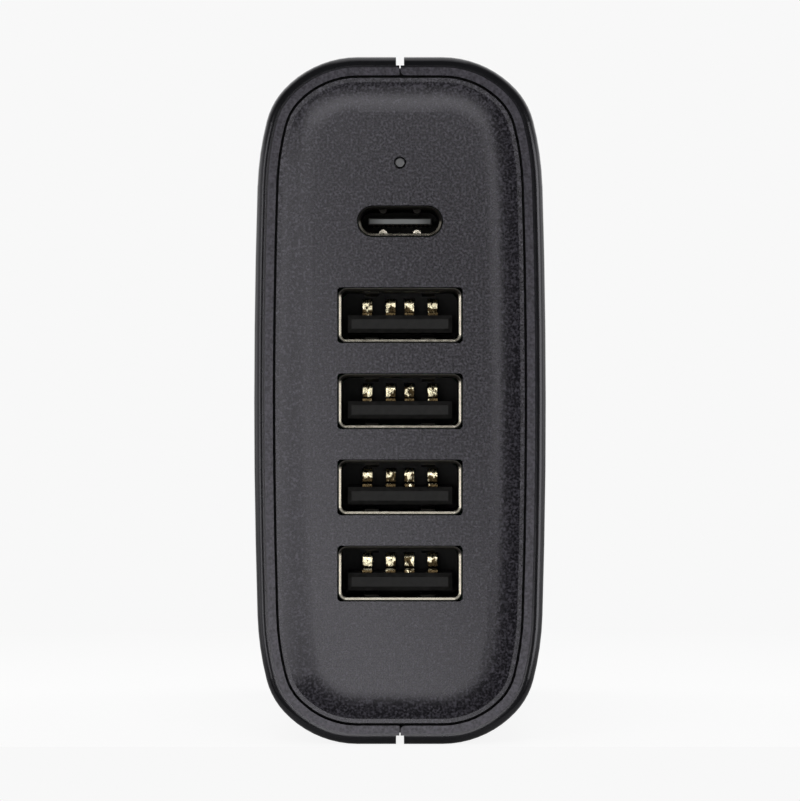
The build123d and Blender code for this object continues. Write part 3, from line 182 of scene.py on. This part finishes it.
COMPOUND_BLACK = (0.014, 0.014, 0.015)
COMPOUND_WORN = (0.03, 0.03, 0.032)
moulding_compound = Finish(bpy.data.materials.new("moulding_compound"))
speck = moulding_compound.noise(3200.0, 3.0)
worn = moulding_compound.spread(speck, 0.35, 0.75)
moulding_compound.surface(
    Base_Color=moulding_compound.blend(worn, COMPOUND_BLACK, COMPOUND_WORN),
    Roughness=moulding_compound.vary(speck, 0.42, 0.6),
    Normal=moulding_compound.relief(speck, 0.00001),
)
paint(moulding_compound, "controller_chip", *numbered("port_controller", 2))
paint(moulding_compound, "bridge_rectifier", "rectifier", "primary_switch", "transformer_bobbin")


# Choke frame, transformer core and inductors: sintered ferrite, ground flat where halves meet and
# slightly porous elsewhere. The cores are clamped round their coils.
FERRITE_DARK = (0.035, 0.035, 0.038)
FERRITE_PALE = (0.085, 0.084, 0.088)
ferrite = Finish(bpy.data.materials.new("sintered_ferrite"))
grains = ferrite.noise(1500.0, 5.0)
ferrite.surface(
    Base_Color=ferrite.blend(ferrite.spread(grains, 0.35, 0.7), FERRITE_DARK, FERRITE_PALE),
    Roughness=ferrite.vary(grains, 0.45, 0.7),
    Metallic=0.3,
    Normal=ferrite.relief(grains, 0.00004),
)
paint(ferrite, "choke_core", "transformer_core", *numbered("inductor", 2))


# Choke windings: enamelled copper wire, wound turn beside turn on two legs of the choke's frame. The
# turns show as ribs, with a painted highlight on top and painted shade between.
COPPER_BRIGHT = (0.72, 0.3, 0.12)
COPPER_SHADE = (0.28, 0.09, 0.035)
copper_wire = Finish(bpy.data.materials.new("enamelled_copper"))
turns = copper_wire.node(
    "ShaderNodeTexWave",
    {"bands_direction": "Z"},
    {"Vector": copper_wire.place(), "Scale": 520.0, "Distortion": 0.4, "Detail": 1.0},
    "Fac",
)
# Painted highlight on the ribs' tops and painted shade between them.
copper_wire.surface(
    Base_Color=copper_wire.blend(turns, COPPER_SHADE, COPPER_BRIGHT),
    Metallic=0.85,
    Roughness=copper_wire.spread(turns, 0.0, 1.0, 0.45, 0.25),
    Normal=copper_wire.relief(turns, 0.0002),
)
paint(copper_wire, "choke_windings")


# Transformer winding: coils on the bobbin, wrapped in yellow polyester tape. The laps of the tape show
# as faint steps round it.
TAPE_YELLOW = (0.62, 0.43, 0.035)
TAPE_LAP = (0.48, 0.31, 0.02)
polyester_tape = Finish(bpy.data.materials.new("polyester_tape"))
laps = polyester_tape.node(
    "ShaderNodeTexWave",
    {"bands_direction": "Z", "wave_profile": "SAW"},
    {"Vector": polyester_tape.place(), "Scale": 60.0, "Distortion": 0.8},
    "Fac",
)
polyester_tape.surface(
    Base_Color=polyester_tape.blend(laps, TAPE_YELLOW, TAPE_LAP),
    Roughness=polyester_tape.vary(polyester_tape.noise(900.0), 0.2, 0.34),
    Normal=polyester_tape.relief(laps, 0.00006),
)
paint(polyester_tape, "transformer_winding")


# X capacitor: a film capacitor potted in a yellow box and soldered to the main board. The box has the
# fine skin of a spark-eroded mould.
FILM_YELLOW = (0.68, 0.42, 0.03)
FILM_SHADE = (0.55, 0.33, 0.02)
film_box = Finish(bpy.data.materials.new("film_box"))
skin = film_box.noise(2400.0)
film_box.surface(
    Base_Color=film_box.blend(film_box.noise(180.0), FILM_SHADE, FILM_YELLOW),
    Roughness=film_box.vary(skin, 0.3, 0.42),
    Normal=film_box.relief(skin, 0.00001),
)
paint(film_box, "x_capacitor")


# Y capacitor: a ceramic disc on two leads, dipped in blue lacquer. The lacquer has dried with a soft
# ripple, darker in its hollows.
DIP_BLUE = (0.03, 0.13, 0.42)
DIP_HOLLOW = (0.02, 0.08, 0.28)
lacquer_dip = Finish(bpy.data.materials.new("lacquer_dip"))
ripple = lacquer_dip.noise(420.0, 1.0)
lacquer_dip.surface(
    Base_Color=lacquer_dip.blend(ripple, DIP_HOLLOW, DIP_BLUE),
    Roughness=lacquer_dip.vary(ripple, 0.18, 0.3),
    Normal=lacquer_dip.relief(ripple, 0.0001),
)
paint(lacquer_dip, "y_capacitor")


# Bulk capacitors: aluminium cans on the main board, in a dark shrink sleeve. The heat of the shrinking
# has left long shallow creases.
SLEEVE_DARK = (0.018, 0.018, 0.026)
SLEEVE_SHEEN = (0.035, 0.035, 0.05)
shrink_sleeve = Finish(bpy.data.materials.new("shrink_sleeve"))
creases = shrink_sleeve.noise(340.0, 3.0, (0.3, 1.0, 1.0))
shrink_sleeve.surface(
    Base_Color=shrink_sleeve.blend(creases, SLEEVE_DARK, SLEEVE_SHEEN),
    Roughness=shrink_sleeve.vary(creases, 0.16, 0.3),
    Normal=shrink_sleeve.relief(creases, 0.00008),
)
paint(shrink_sleeve, *numbered("bulk_capacitor", 2))


# Output capacitors and heatsinks: bare aluminium, drawn into cans or made from rolled sheet, with the
# fine lines of drawing and rolling.
ALUMINIUM = (0.78, 0.78, 0.79)
ALUMINIUM_DULL = (0.6, 0.61, 0.62)
bare_aluminium = Finish(bpy.data.materials.new("bare_aluminium"))
rolling = bare_aluminium.noise(2600.0, 3.0, (0.05, 1.0, 1.0))
bare_aluminium.surface(
    Base_Color=bare_aluminium.blend(rolling, ALUMINIUM_DULL, ALUMINIUM),
    Metallic=1.0,
    Roughness=bare_aluminium.vary(rolling, 0.24, 0.42),
    Normal=bare_aluminium.relief(rolling, 0.000008),
)
paint(bare_aluminium, "primary_heatsink", "secondary_heatsink", *numbered("output_capacitor", 4))


# Optocoupler and status LED: white mouldings, soldered flat to their boards. The plastic's flow shows
# as faint ivory clouds.
MOULDED_WHITE = (0.76, 0.76, 0.73)
MOULDED_IVORY = (0.66, 0.65, 0.6)
white_moulding = Finish(bpy.data.materials.new("white_moulding"))
flow = white_moulding.noise(700.0, 3.0)
white_moulding.surface(
    Base_Color=white_moulding.blend(flow, MOULDED_IVORY, MOULDED_WHITE),
    Roughness=white_moulding.vary(flow, 0.36, 0.5),
    Normal=white_moulding.relief(flow, 0.00001),
)
paint(white_moulding, "optocoupler", "status_led")


# Transformer pins and mains inlet pins: brass, turned and cut to length, then plated with nickel. They
# are pressed into the bobbin and the inlet's body.
NICKEL = (0.74, 0.72, 0.67)
NICKEL_SHADE = (0.6, 0.58, 0.53)
nickel_plate = Finish(bpy.data.materials.new("nickel_plate"))
turning = nickel_plate.noise(1800.0, 2.0, (1.0, 4.0, 1.0))
nickel_plate.surface(
    Base_Color=nickel_plate.blend(turning, NICKEL_SHADE, NICKEL),
    Metallic=1.0,
    Roughness=nickel_plate.vary(turning, 0.16, 0.28),
    Normal=nickel_plate.relief(turning, 0.000006),
)
paint(nickel_plate, "transformer_pins", "inlet_pins")


# USB-A receptacle shells: tin-plated steel, folded round and soldered to the port board by two legs.
# The lead-in at the bottom and sides is bright tin; the sheared front edge, the top wall and the walls
# deep inside are painted near-black, as painted shade.
TIN_BRIGHT = (0.9, 0.85, 0.72)
TIN_SHADE = (0.72, 0.66, 0.54)
TIN_PAINTED_SHADE = (0.035, 0.033, 0.029)
FRONT = cad_box[0][1]
MOUTH = FRONT + 0.0001
FACE_FADE = 0.000012
LEAD_IN = (0.00024, 0.0008)
SHELL_PITCH = 0.00913
LOWEST_SHELL = 0.0153
SHELL_HEIGHT = 0.00572
TOP_WALL = (SHELL_HEIGHT - 0.001, SHELL_HEIGHT - 0.0006)


def at_face(finish, face, fade=FACE_FADE):
    """1 on a front face at its depth along Y, and 0 just behind it."""
    return finish.spread(finish.along("Y") - face, fade / 3, fade, 1.0, 0.0)


def tin_surface(finish, painted_shade, shade_colour):
    """Bright tin plate with faint drawing lines, painted near-black as shade where the given mask is high.
    """
    drawing = finish.noise(1500.0, 2.0, (1.0, 0.08, 1.0))
    bright = finish.blend(finish.vary(drawing, 0.0, 1.0), TIN_SHADE, TIN_BRIGHT)
    finish.surface(
        Base_Color=finish.blend(painted_shade, bright, shade_colour),
        Metallic=1.0,
        Roughness=finish.vary(drawing, 0.14, 0.2) + painted_shade * 0.3,
        Normal=finish.relief(drawing, 0.000002),
    )


tin_plate = Finish(bpy.data.materials.new("tin_plated_steel"))
# Painted shade: the front face, the walls deep inside and the top wall of each port are made near-black.
deep_shade = tin_plate.spread(tin_plate.along("Y") - MOUTH, *LEAD_IN)
shell_rise = (tin_plate.along("Z") - LOWEST_SHELL) % SHELL_PITCH
top_wall_shade = tin_plate.spread(shell_rise, *TOP_WALL)
tin_surface(tin_plate, tin_plate.spread(at_face(tin_plate, MOUTH) + deep_shade + top_wall_shade, 0.0, 1.0), TIN_PAINTED_SHADE)
paint(tin_plate, *numbered("usb_a_shell", 4))


# USB-C receptacle shell: drawn from one piece of the same tin-plated steel, with pressed dimples. It is
# bright along the bottom; its front edge and the walls over the tongue are painted near-black as shade.
OVER_TONGUE_SHADE = (0.0545, 0.0556)
TIN_UNLIT = (0.01, 0.0095, 0.0085)
drawn_plate = Finish(bpy.data.materials.new("drawn_tin_plate"))
# Painted shade: the walls over the tongue and the front edge go near-black.
over_tongue_shade = drawn_plate.spread(drawn_plate.along("Z"), *OVER_TONGUE_SHADE)
tin_surface(drawn_plate, drawn_plate.math("MAXIMUM", at_face(drawn_plate, MOUTH), over_tongue_shade), TIN_UNLIT)
paint(drawn_plate, "usb_c_shell")


# Receptacle inserts, the fuse box and the link header: black glass-filled nylon, moulded, with the
# contacts pressed in.
NYLON_BLACK = (0.007, 0.0068, 0.0065)
NYLON_WORN = (0.018, 0.0175, 0.017)
black_nylon = Finish(bpy.data.materials.new("black_nylon"))
fibres = black_nylon.noise(1600.0, 3.0)
black_nylon.surface(
    Base_Color=black_nylon.blend(black_nylon.spread(fibres, 0.3, 0.75), NYLON_BLACK, NYLON_WORN),
    Roughness=black_nylon.vary(fibres, 0.5, 0.66),
    Specular_IOR_Level=0.15,
    Normal=black_nylon.relief(fibres, 0.000012),
)
paint(black_nylon, "fuse", "link_header", *numbered("usb_a_insert", 4))


# USB-C insert: black nylon moulded round a steel mid-plate. A pale band is painted along the front face of
# the tongue as a painted highlight, and it fades towards the tongue's rounded ends.
TONGUE_FRONT_HIGHLIGHT = (0.15, 0.155, 0.155)
HIGHLIGHT_ENDS = (0.0017, 0.0034)
TONGUE_FRONT = FRONT + 0.0008
TONGUE_FADE = 0.00003
tongue_nylon = Finish(bpy.data.materials.new("tongue_nylon"))
tongue_fibres = tongue_nylon.noise(1800.0, 3.0)
tongue_worn = tongue_nylon.spread(tongue_fibres, 0.3, 0.75)
# Painted highlight: a pale band on the tongue's front face, fading towards its ends.
highlight_length = tongue_nylon.spread(abs(tongue_nylon.along("X")), *HIGHLIGHT_ENDS, 1.0, 0.2)
tongue_nylon.surface(
    Base_Color=tongue_nylon.blend(
        at_face(tongue_nylon, TONGUE_FRONT, TONGUE_FADE) * highlight_length,
        tongue_nylon.blend(tongue_worn, NYLON_BLACK, NYLON_WORN),
        TONGUE_FRONT_HIGHLIGHT,
    ),
    Roughness=tongue_nylon.vary(tongue_fibres, 0.5, 0.66),
    Specular_IOR_Level=0.15,
    Normal=tongue_nylon.relief(tongue_fibres, 0.00001),
)
paint(tongue_nylon, "usb_c_insert")


# Receptacle contacts and link pins: stamped spring bronze with a thin gold flash. Plugging has left it
# bright in patches and tarnished in between. By height they are also painted lighter above the contacts'
# upper bend and darker below it, a painted glint and painted shade.
GOLD_FLASH = (0.95, 0.86, 0.6)
GOLD_TARNISH_AND_SHADE = (0.06, 0.042, 0.02)
GLINT_HEIGHTS = (0.0031, 0.0039)
gold_flash = Finish(bpy.data.materials.new("gold_flash"))
patches = gold_flash.noise(1700.0, 1.0)
scuffs = gold_flash.noise(5200.0, 2.0, (1.0, 1.0, 0.4))
contact_rise = (gold_flash.along("Z") - LOWEST_SHELL) % SHELL_PITCH
# Painted glint and shade: lighter above the upper bend, darker below it.
glint_and_shade_by_height = gold_flash.spread(contact_rise, *GLINT_HEIGHTS, -0.14, 0.05)
rubbed_and_glint = gold_flash.spread(patches * 0.7 + scuffs * 0.3 + glint_and_shade_by_height, 0.47, 0.53)
gold_flash.surface(
    Base_Color=gold_flash.blend(rubbed_and_glint, GOLD_TARNISH_AND_SHADE, GOLD_FLASH),
    Metallic=1.0,
    Roughness=gold_flash.vary(scuffs, 0.18, 0.34),
    Normal=gold_flash.relief(patches, 0.00004),
)
paint(gold_flash, "link_pins", "usb_c_contacts", *numbered("usb_a_contacts", 4))


# Light pipe: a turned peg of frosted acrylic, pushed into its hole from behind until its shoulder seats
# on the panel's web. It looks grey while the LED behind it is off.
ACRYLIC = (0.115, 0.115, 0.12)
ACRYLIC_CLOUD = (0.075, 0.075, 0.08)
frosted_acrylic = Finish(bpy.data.materials.new("frosted_acrylic"))
cloud = frosted_acrylic.noise(1500.0)
frosted_acrylic.surface(
    Base_Color=frosted_acrylic.blend(cloud, ACRYLIC_CLOUD, ACRYLIC),
    Roughness=frosted_acrylic.vary(cloud, 0.3, 0.45),
    Normal=frosted_acrylic.relief(cloud, 0.00001),
    Transmission_Weight=0.3,
)
paint(frosted_acrylic, "light_pipe")


# Port panel: a pillowed plate of dark polycarbonate, moulded with a fine matt grain and trapped by its
# flange behind the casing's rim. It is very slightly crowned, and painted black down in the gap round it,
# as shade.
PANEL_GREY = (0.006, 0.0056, 0.0075)
PANEL_PALE = (0.056, 0.0525, 0.0645)
PANEL_SHADE = (0.002, 0.002, 0.002)
LAND_FACE = FRONT + 0.0006
GAP_SHADE = (0.00008, 0.0004)
BODY_MIDDLE = (cad_box[0][2] + cad_box[1][2]) / 2
CROWN_ACROSS = 2.0
CROWN_UP = 0.6
panel_plastic = Finish(bpy.data.materials.new("panel_plastic"))
fine_grain = panel_plastic.noise(4000.0)
soft_cast = panel_plastic.noise(1300.0)
sparkle = panel_plastic.spread(fine_grain * 0.86 + soft_cast * 0.14, 0.38, 0.65)
panel_across = panel_plastic.along("X")
panel_up = panel_plastic.along("Z") - BODY_MIDDLE
crown = panel_across * panel_across * CROWN_ACROSS + panel_up * panel_up * CROWN_UP
# Painted shade: the panel goes black down in the gap.
painted_gap_shade = panel_plastic.spread(panel_plastic.along("Y") - LAND_FACE, *GAP_SHADE)
panel_plastic.surface(
    Base_Color=panel_plastic.blend(
        painted_gap_shade,
        panel_plastic.blend(sparkle * sparkle, PANEL_GREY, PANEL_PALE),
        PANEL_SHADE,
    ),
    Roughness=panel_plastic.spread(fine_grain, 0.36, 0.64, 0.25, 0.31) + painted_gap_shade * 0.5,
    Specular_IOR_Level=0.35,
    Specular_Tint=(0.96, 0.94, 1.0),
    Normal=panel_plastic.relief(fine_grain * 0.000004 - crown, 1.0),
)
paint(panel_plastic, "port_panel")


# Casing halves: barrel-sided shells of black polycarbonate that meet along the seam. The front rim has
# the panel's matt grain up to EDGE_LINE in from the outline, which is the part's: a flat strip, then
# arcs of a radius and a turn. The mould was polished for the rounded edge and the sides behind it.
RIM_GREY = (0.022, 0.0205, 0.026)
RIM_PALE = (0.088, 0.082, 0.1)
SIDE_BLACK = (0.008, 0.008, 0.0095)
SIDE_PALE = (0.012, 0.012, 0.0135)
RIM_FACE = FRONT + 0.0004
EDGE_LINE = 0.00115
EDGE_FADE = 0.00003
FLAT_HALF = 0.00449
EDGE_ARCS = [(0.0107, 47.0), (0.00784, 28.65), (0.0317, 12.6), (0.74676, 1.75)]
casing_plastic = Finish(bpy.data.materials.new("casing_plastic"))
skin_grain = casing_plastic.noise(3800.0)
swirl = casing_plastic.noise(420.0, 3.0)
across = abs(casing_plastic.along("X"))
rise = abs(casing_plastic.along("Z") - BODY_MIDDLE)
spot = casing_plastic.node("ShaderNodeCombineXYZ", {}, {"X": across, "Y": rise})
inset = BODY_MIDDLE - rise
centre = Vector((FLAT_HALF, BODY_MIDDLE, 0.0))
turned = 0.0
last_radius = 0.0
for radius, turn in EDGE_ARCS:
    centre -= Vector((sin(turned), cos(turned), 0.0)) * (radius - last_radius)
    onwards = Vector((cos(turned), -sin(turned), 0.0))
    arm = casing_plastic.vector_math("SUBTRACT", "Vector", spot, centre)
    ahead = casing_plastic.vector_math("DOT_PRODUCT", "Value", arm, onwards)
    length = casing_plastic.vector_math("LENGTH", "Value", arm)
    inset = inset + (radius - length - inset) * (ahead > 0.0)
    turned += radians(turn)
    last_radius = radius
within_edge = casing_plastic.spread(inset, EDGE_LINE - EDGE_FADE, EDGE_LINE + EDGE_FADE)
rim = at_face(casing_plastic, RIM_FACE) * within_edge
casing_plastic.surface(
    Base_Color=casing_plastic.blend(
        rim,
        casing_plastic.blend(casing_plastic.vary(swirl, 0.0, 1.0), SIDE_BLACK, SIDE_PALE),
        casing_plastic.blend(casing_plastic.vary(skin_grain, 0.0, 1.0), RIM_GREY, RIM_PALE),
    ),
    Roughness=casing_plastic.vary(swirl, 0.17, 0.2) + rim * 0.12,
    Specular_IOR_Level=0.4,
    Specular_Tint=(0.96, 0.94, 1.0),
    Normal=casing_plastic.relief(skin_grain * rim, 0.00001),
)
paint(casing_plastic, "left_shell", "right_shell")


# Mains inlet: a black moulded socket with a figure-eight well for a plug. It is held in the rear wall
# by a bracket inside the casing.
INLET_BLACK = (0.018, 0.018, 0.019)
INLET_WORN = (0.03, 0.03, 0.032)
inlet_plastic = Finish(bpy.data.materials.new("inlet_plastic"))
inlet_grain = inlet_plastic.noise(2800.0)
inlet_plastic.surface(
    Base_Color=inlet_plastic.blend(inlet_grain, INLET_BLACK, INLET_WORN),
    Roughness=inlet_plastic.vary(inlet_grain, 0.38, 0.5),
    Normal=inlet_plastic.relief(inlet_grain, 0.00001),
)
paint(inlet_plastic, "inlet_body")


# Studio floor: a pale sheet that starts just in front of the object and runs far back. It is drawn pale
# for the camera, keeps a faint shadow near the object, and throws little light back.
PALE = 0.939
FLOOR_BOUNCE = 0.3
FLOOR_SIZE = 6.0
FLOOR_FRONT = FRONT - 0.003
SHADOW_SHARE = 0.15
SHADOW_REACH = (0.06, 0.2)
OPEN_FLOOR = 0.34


def ray_shares(finish):
    """1 where the camera looks at it, and 1 where it shows in metal or glass."""
    kinds = ("Is Camera Ray", "Is Glossy Ray", "Is Transmission Ray")
    seen, mirrored, passed = [finish.node("ShaderNodeLightPath", {}, {}, kind) for kind in kinds]
    return seen, mirrored + passed


floor_mesh = bpy.data.meshes.new("studio_floor")
sheet = bmesh.new()
corners = [(-1, 0), (1, 0), (1, 1), (-1, 1)]
places = [(FLOOR_SIZE / 2 * x, FLOOR_FRONT + FLOOR_SIZE * y, 0.0) for x, y in corners]
sheet.faces.new([sheet.verts.new(place) for place in places])
sheet.to_mesh(floor_mesh)
sheet.free()
floor = bpy.data.objects.new("studio_floor", floor_mesh)
bpy.context.collection.objects.link(floor)
floor_paper = Finish(bpy.data.materials.new("floor_paper"))
seen, shown_again = ray_shares(floor_paper)
reach = floor_paper.vector_math("LENGTH", "Value", floor_paper.place())
near = floor_paper.spread(reach, *SHADOW_REACH, SHADOW_SHARE, 0.0)
floor_paper.surface(
    Base_Color=(1 - seen) * (FLOOR_BOUNCE + shown_again * (PALE - FLOOR_BOUNCE)) + seen * near,
    Roughness=1.0,
    Specular_IOR_Level=0.0,
    Emission_Color=seen * (PALE - near * OPEN_FLOOR),
    Emission_Strength=1.0,
)
floor.data.materials.append(floor_paper.owner)


# Studio surround: a dim room with a pale backdrop behind the object. The camera sees it pale all round,
# and metal and glass see the backdrop.
AMBIENT = 0.08
BACKDROP_EDGE = (-0.25, 0.1)
surround = Finish(bpy.data.worlds.new("studio_surround"))
bpy.context.scene.world = surround.owner
backdrop_seen, backdrop_shown_again = ray_shares(surround)
heading = surround.node("ShaderNodeTexCoord", {}, {}, "Generated")
backwards = surround.node("ShaderNodeSeparateXYZ", {}, {"Vector": heading}, "Y")
pale_share = backdrop_seen + backdrop_shown_again * surround.spread(backwards, *BACKDROP_EDGE)
strength = AMBIENT + pale_share * (PALE - AMBIENT)
room_light = surround.node("ShaderNodeBackground", {}, {"Color": (1.0, 1.0, 1.0), "Strength": strength})
surround.node("ShaderNodeOutputWorld", {}, {"Surface": room_light})


# Studio lamps: softboxes all round, on stands at one distance from the middle of the front. Flags keep
# some of them off the casing's polished edge, and let two of them light nothing else.
MIDDLE = Vector((0.0, FRONT, BODY_MIDDLE))
BOX_DISTANCE = 0.9
off_casing = bpy.data.collections.new("off_casing")
casing_only = bpy.data.collections.new("casing_only")
for receivers, state in ((off_casing, "EXCLUDE"), (casing_only, "INCLUDE")):
    for half in ("left_shell", "right_shell"):
        receivers.objects.link(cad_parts[half])
    for member in receivers.collection_objects:
        member.light_linking.link_state = state


def softbox(name, left, right, low, high, level, receivers=None):
    """A soft lamp between two azimuths and elevations; level is what it adds to a white card facing it."""
    lamp = bpy.data.lights.new(name, "AREA")
    lamp.shape = "RECTANGLE"
    lamp.size = 2 * BOX_DISTANCE * tan(radians(right - left) / 2)
    lamp.size_y = 2 * BOX_DISTANCE * tan(radians(high - low) / 2)
    lamp.energy = level * (pi * BOX_DISTANCE) ** 2
    box = bpy.data.objects.new(name, lamp)
    azimuth = radians(left + right) / 2
    elevation = radians(low + high) / 2
    away = Vector((sin(azimuth) * cos(elevation), -cos(azimuth) * cos(elevation), sin(elevation)))
    box.location = MIDDLE + away * BOX_DISTANCE
    box.rotation_euler = away.to_track_quat("Z", "Y").to_euler()
    box.light_linking.receiver_collection = receivers
    bpy.context.collection.objects.link(box)


softbox("left_box", -52, -32, -20, 14, 0.2, off_casing)
softbox("left_fill", -30, -16, -14, 10, 0.08, off_casing)
softbox("left_strip", -14, -4, -10, 6, 0.064)
softbox("low_strip", -7, 7, -20, -6, 0.098)
softbox("right_strip", 14, 18, -8, 12, 0.066, off_casing)
softbox("top_box", -26, 18, 14, 32, 0.34, off_casing)
softbox("overhead_box", -14, 14, 66, 114, 0.12)
softbox("right_edge_strip", 38, 66, -14, 14, 0.32, casing_only)
softbox("right_side_box", 66, 112, -14, 14, 0.13)
softbox("left_edge_strip", -54, -36, -14, 14, 0.15, casing_only)
softbox("left_side_box", -112, -58, -14, 14, 0.17)
softbox("rear_right_box", 116, 172, 5, 58, 0.32)
softbox("rear_left_box", -172, -116, 5, 58, 0.32)


# Camera: on a tripod square on to the port panel, level with its middle. Its lens frames the height of
# the photograph at the rim.
PHOTO_HEIGHT_AT_RIM = 0.0849
CAMERA_DISTANCE = 0.5
SENSOR = 36.0
camera_data = bpy.data.cameras.new("camera")
camera_data.sensor_fit = "VERTICAL"
camera_data.sensor_height = SENSOR
camera_data.lens = SENSOR * CAMERA_DISTANCE / PHOTO_HEIGHT_AT_RIM
camera = bpy.data.objects.new("camera", camera_data)
camera.location = MIDDLE + Vector((0.0, -CAMERA_DISTANCE, 0.0))
camera.rotation_euler = (radians(90), 0, 0)
bpy.context.collection.objects.link(camera)
bpy.context.scene.camera = camera
bpy.context.scene.view_settings.view_transform = "Standard"
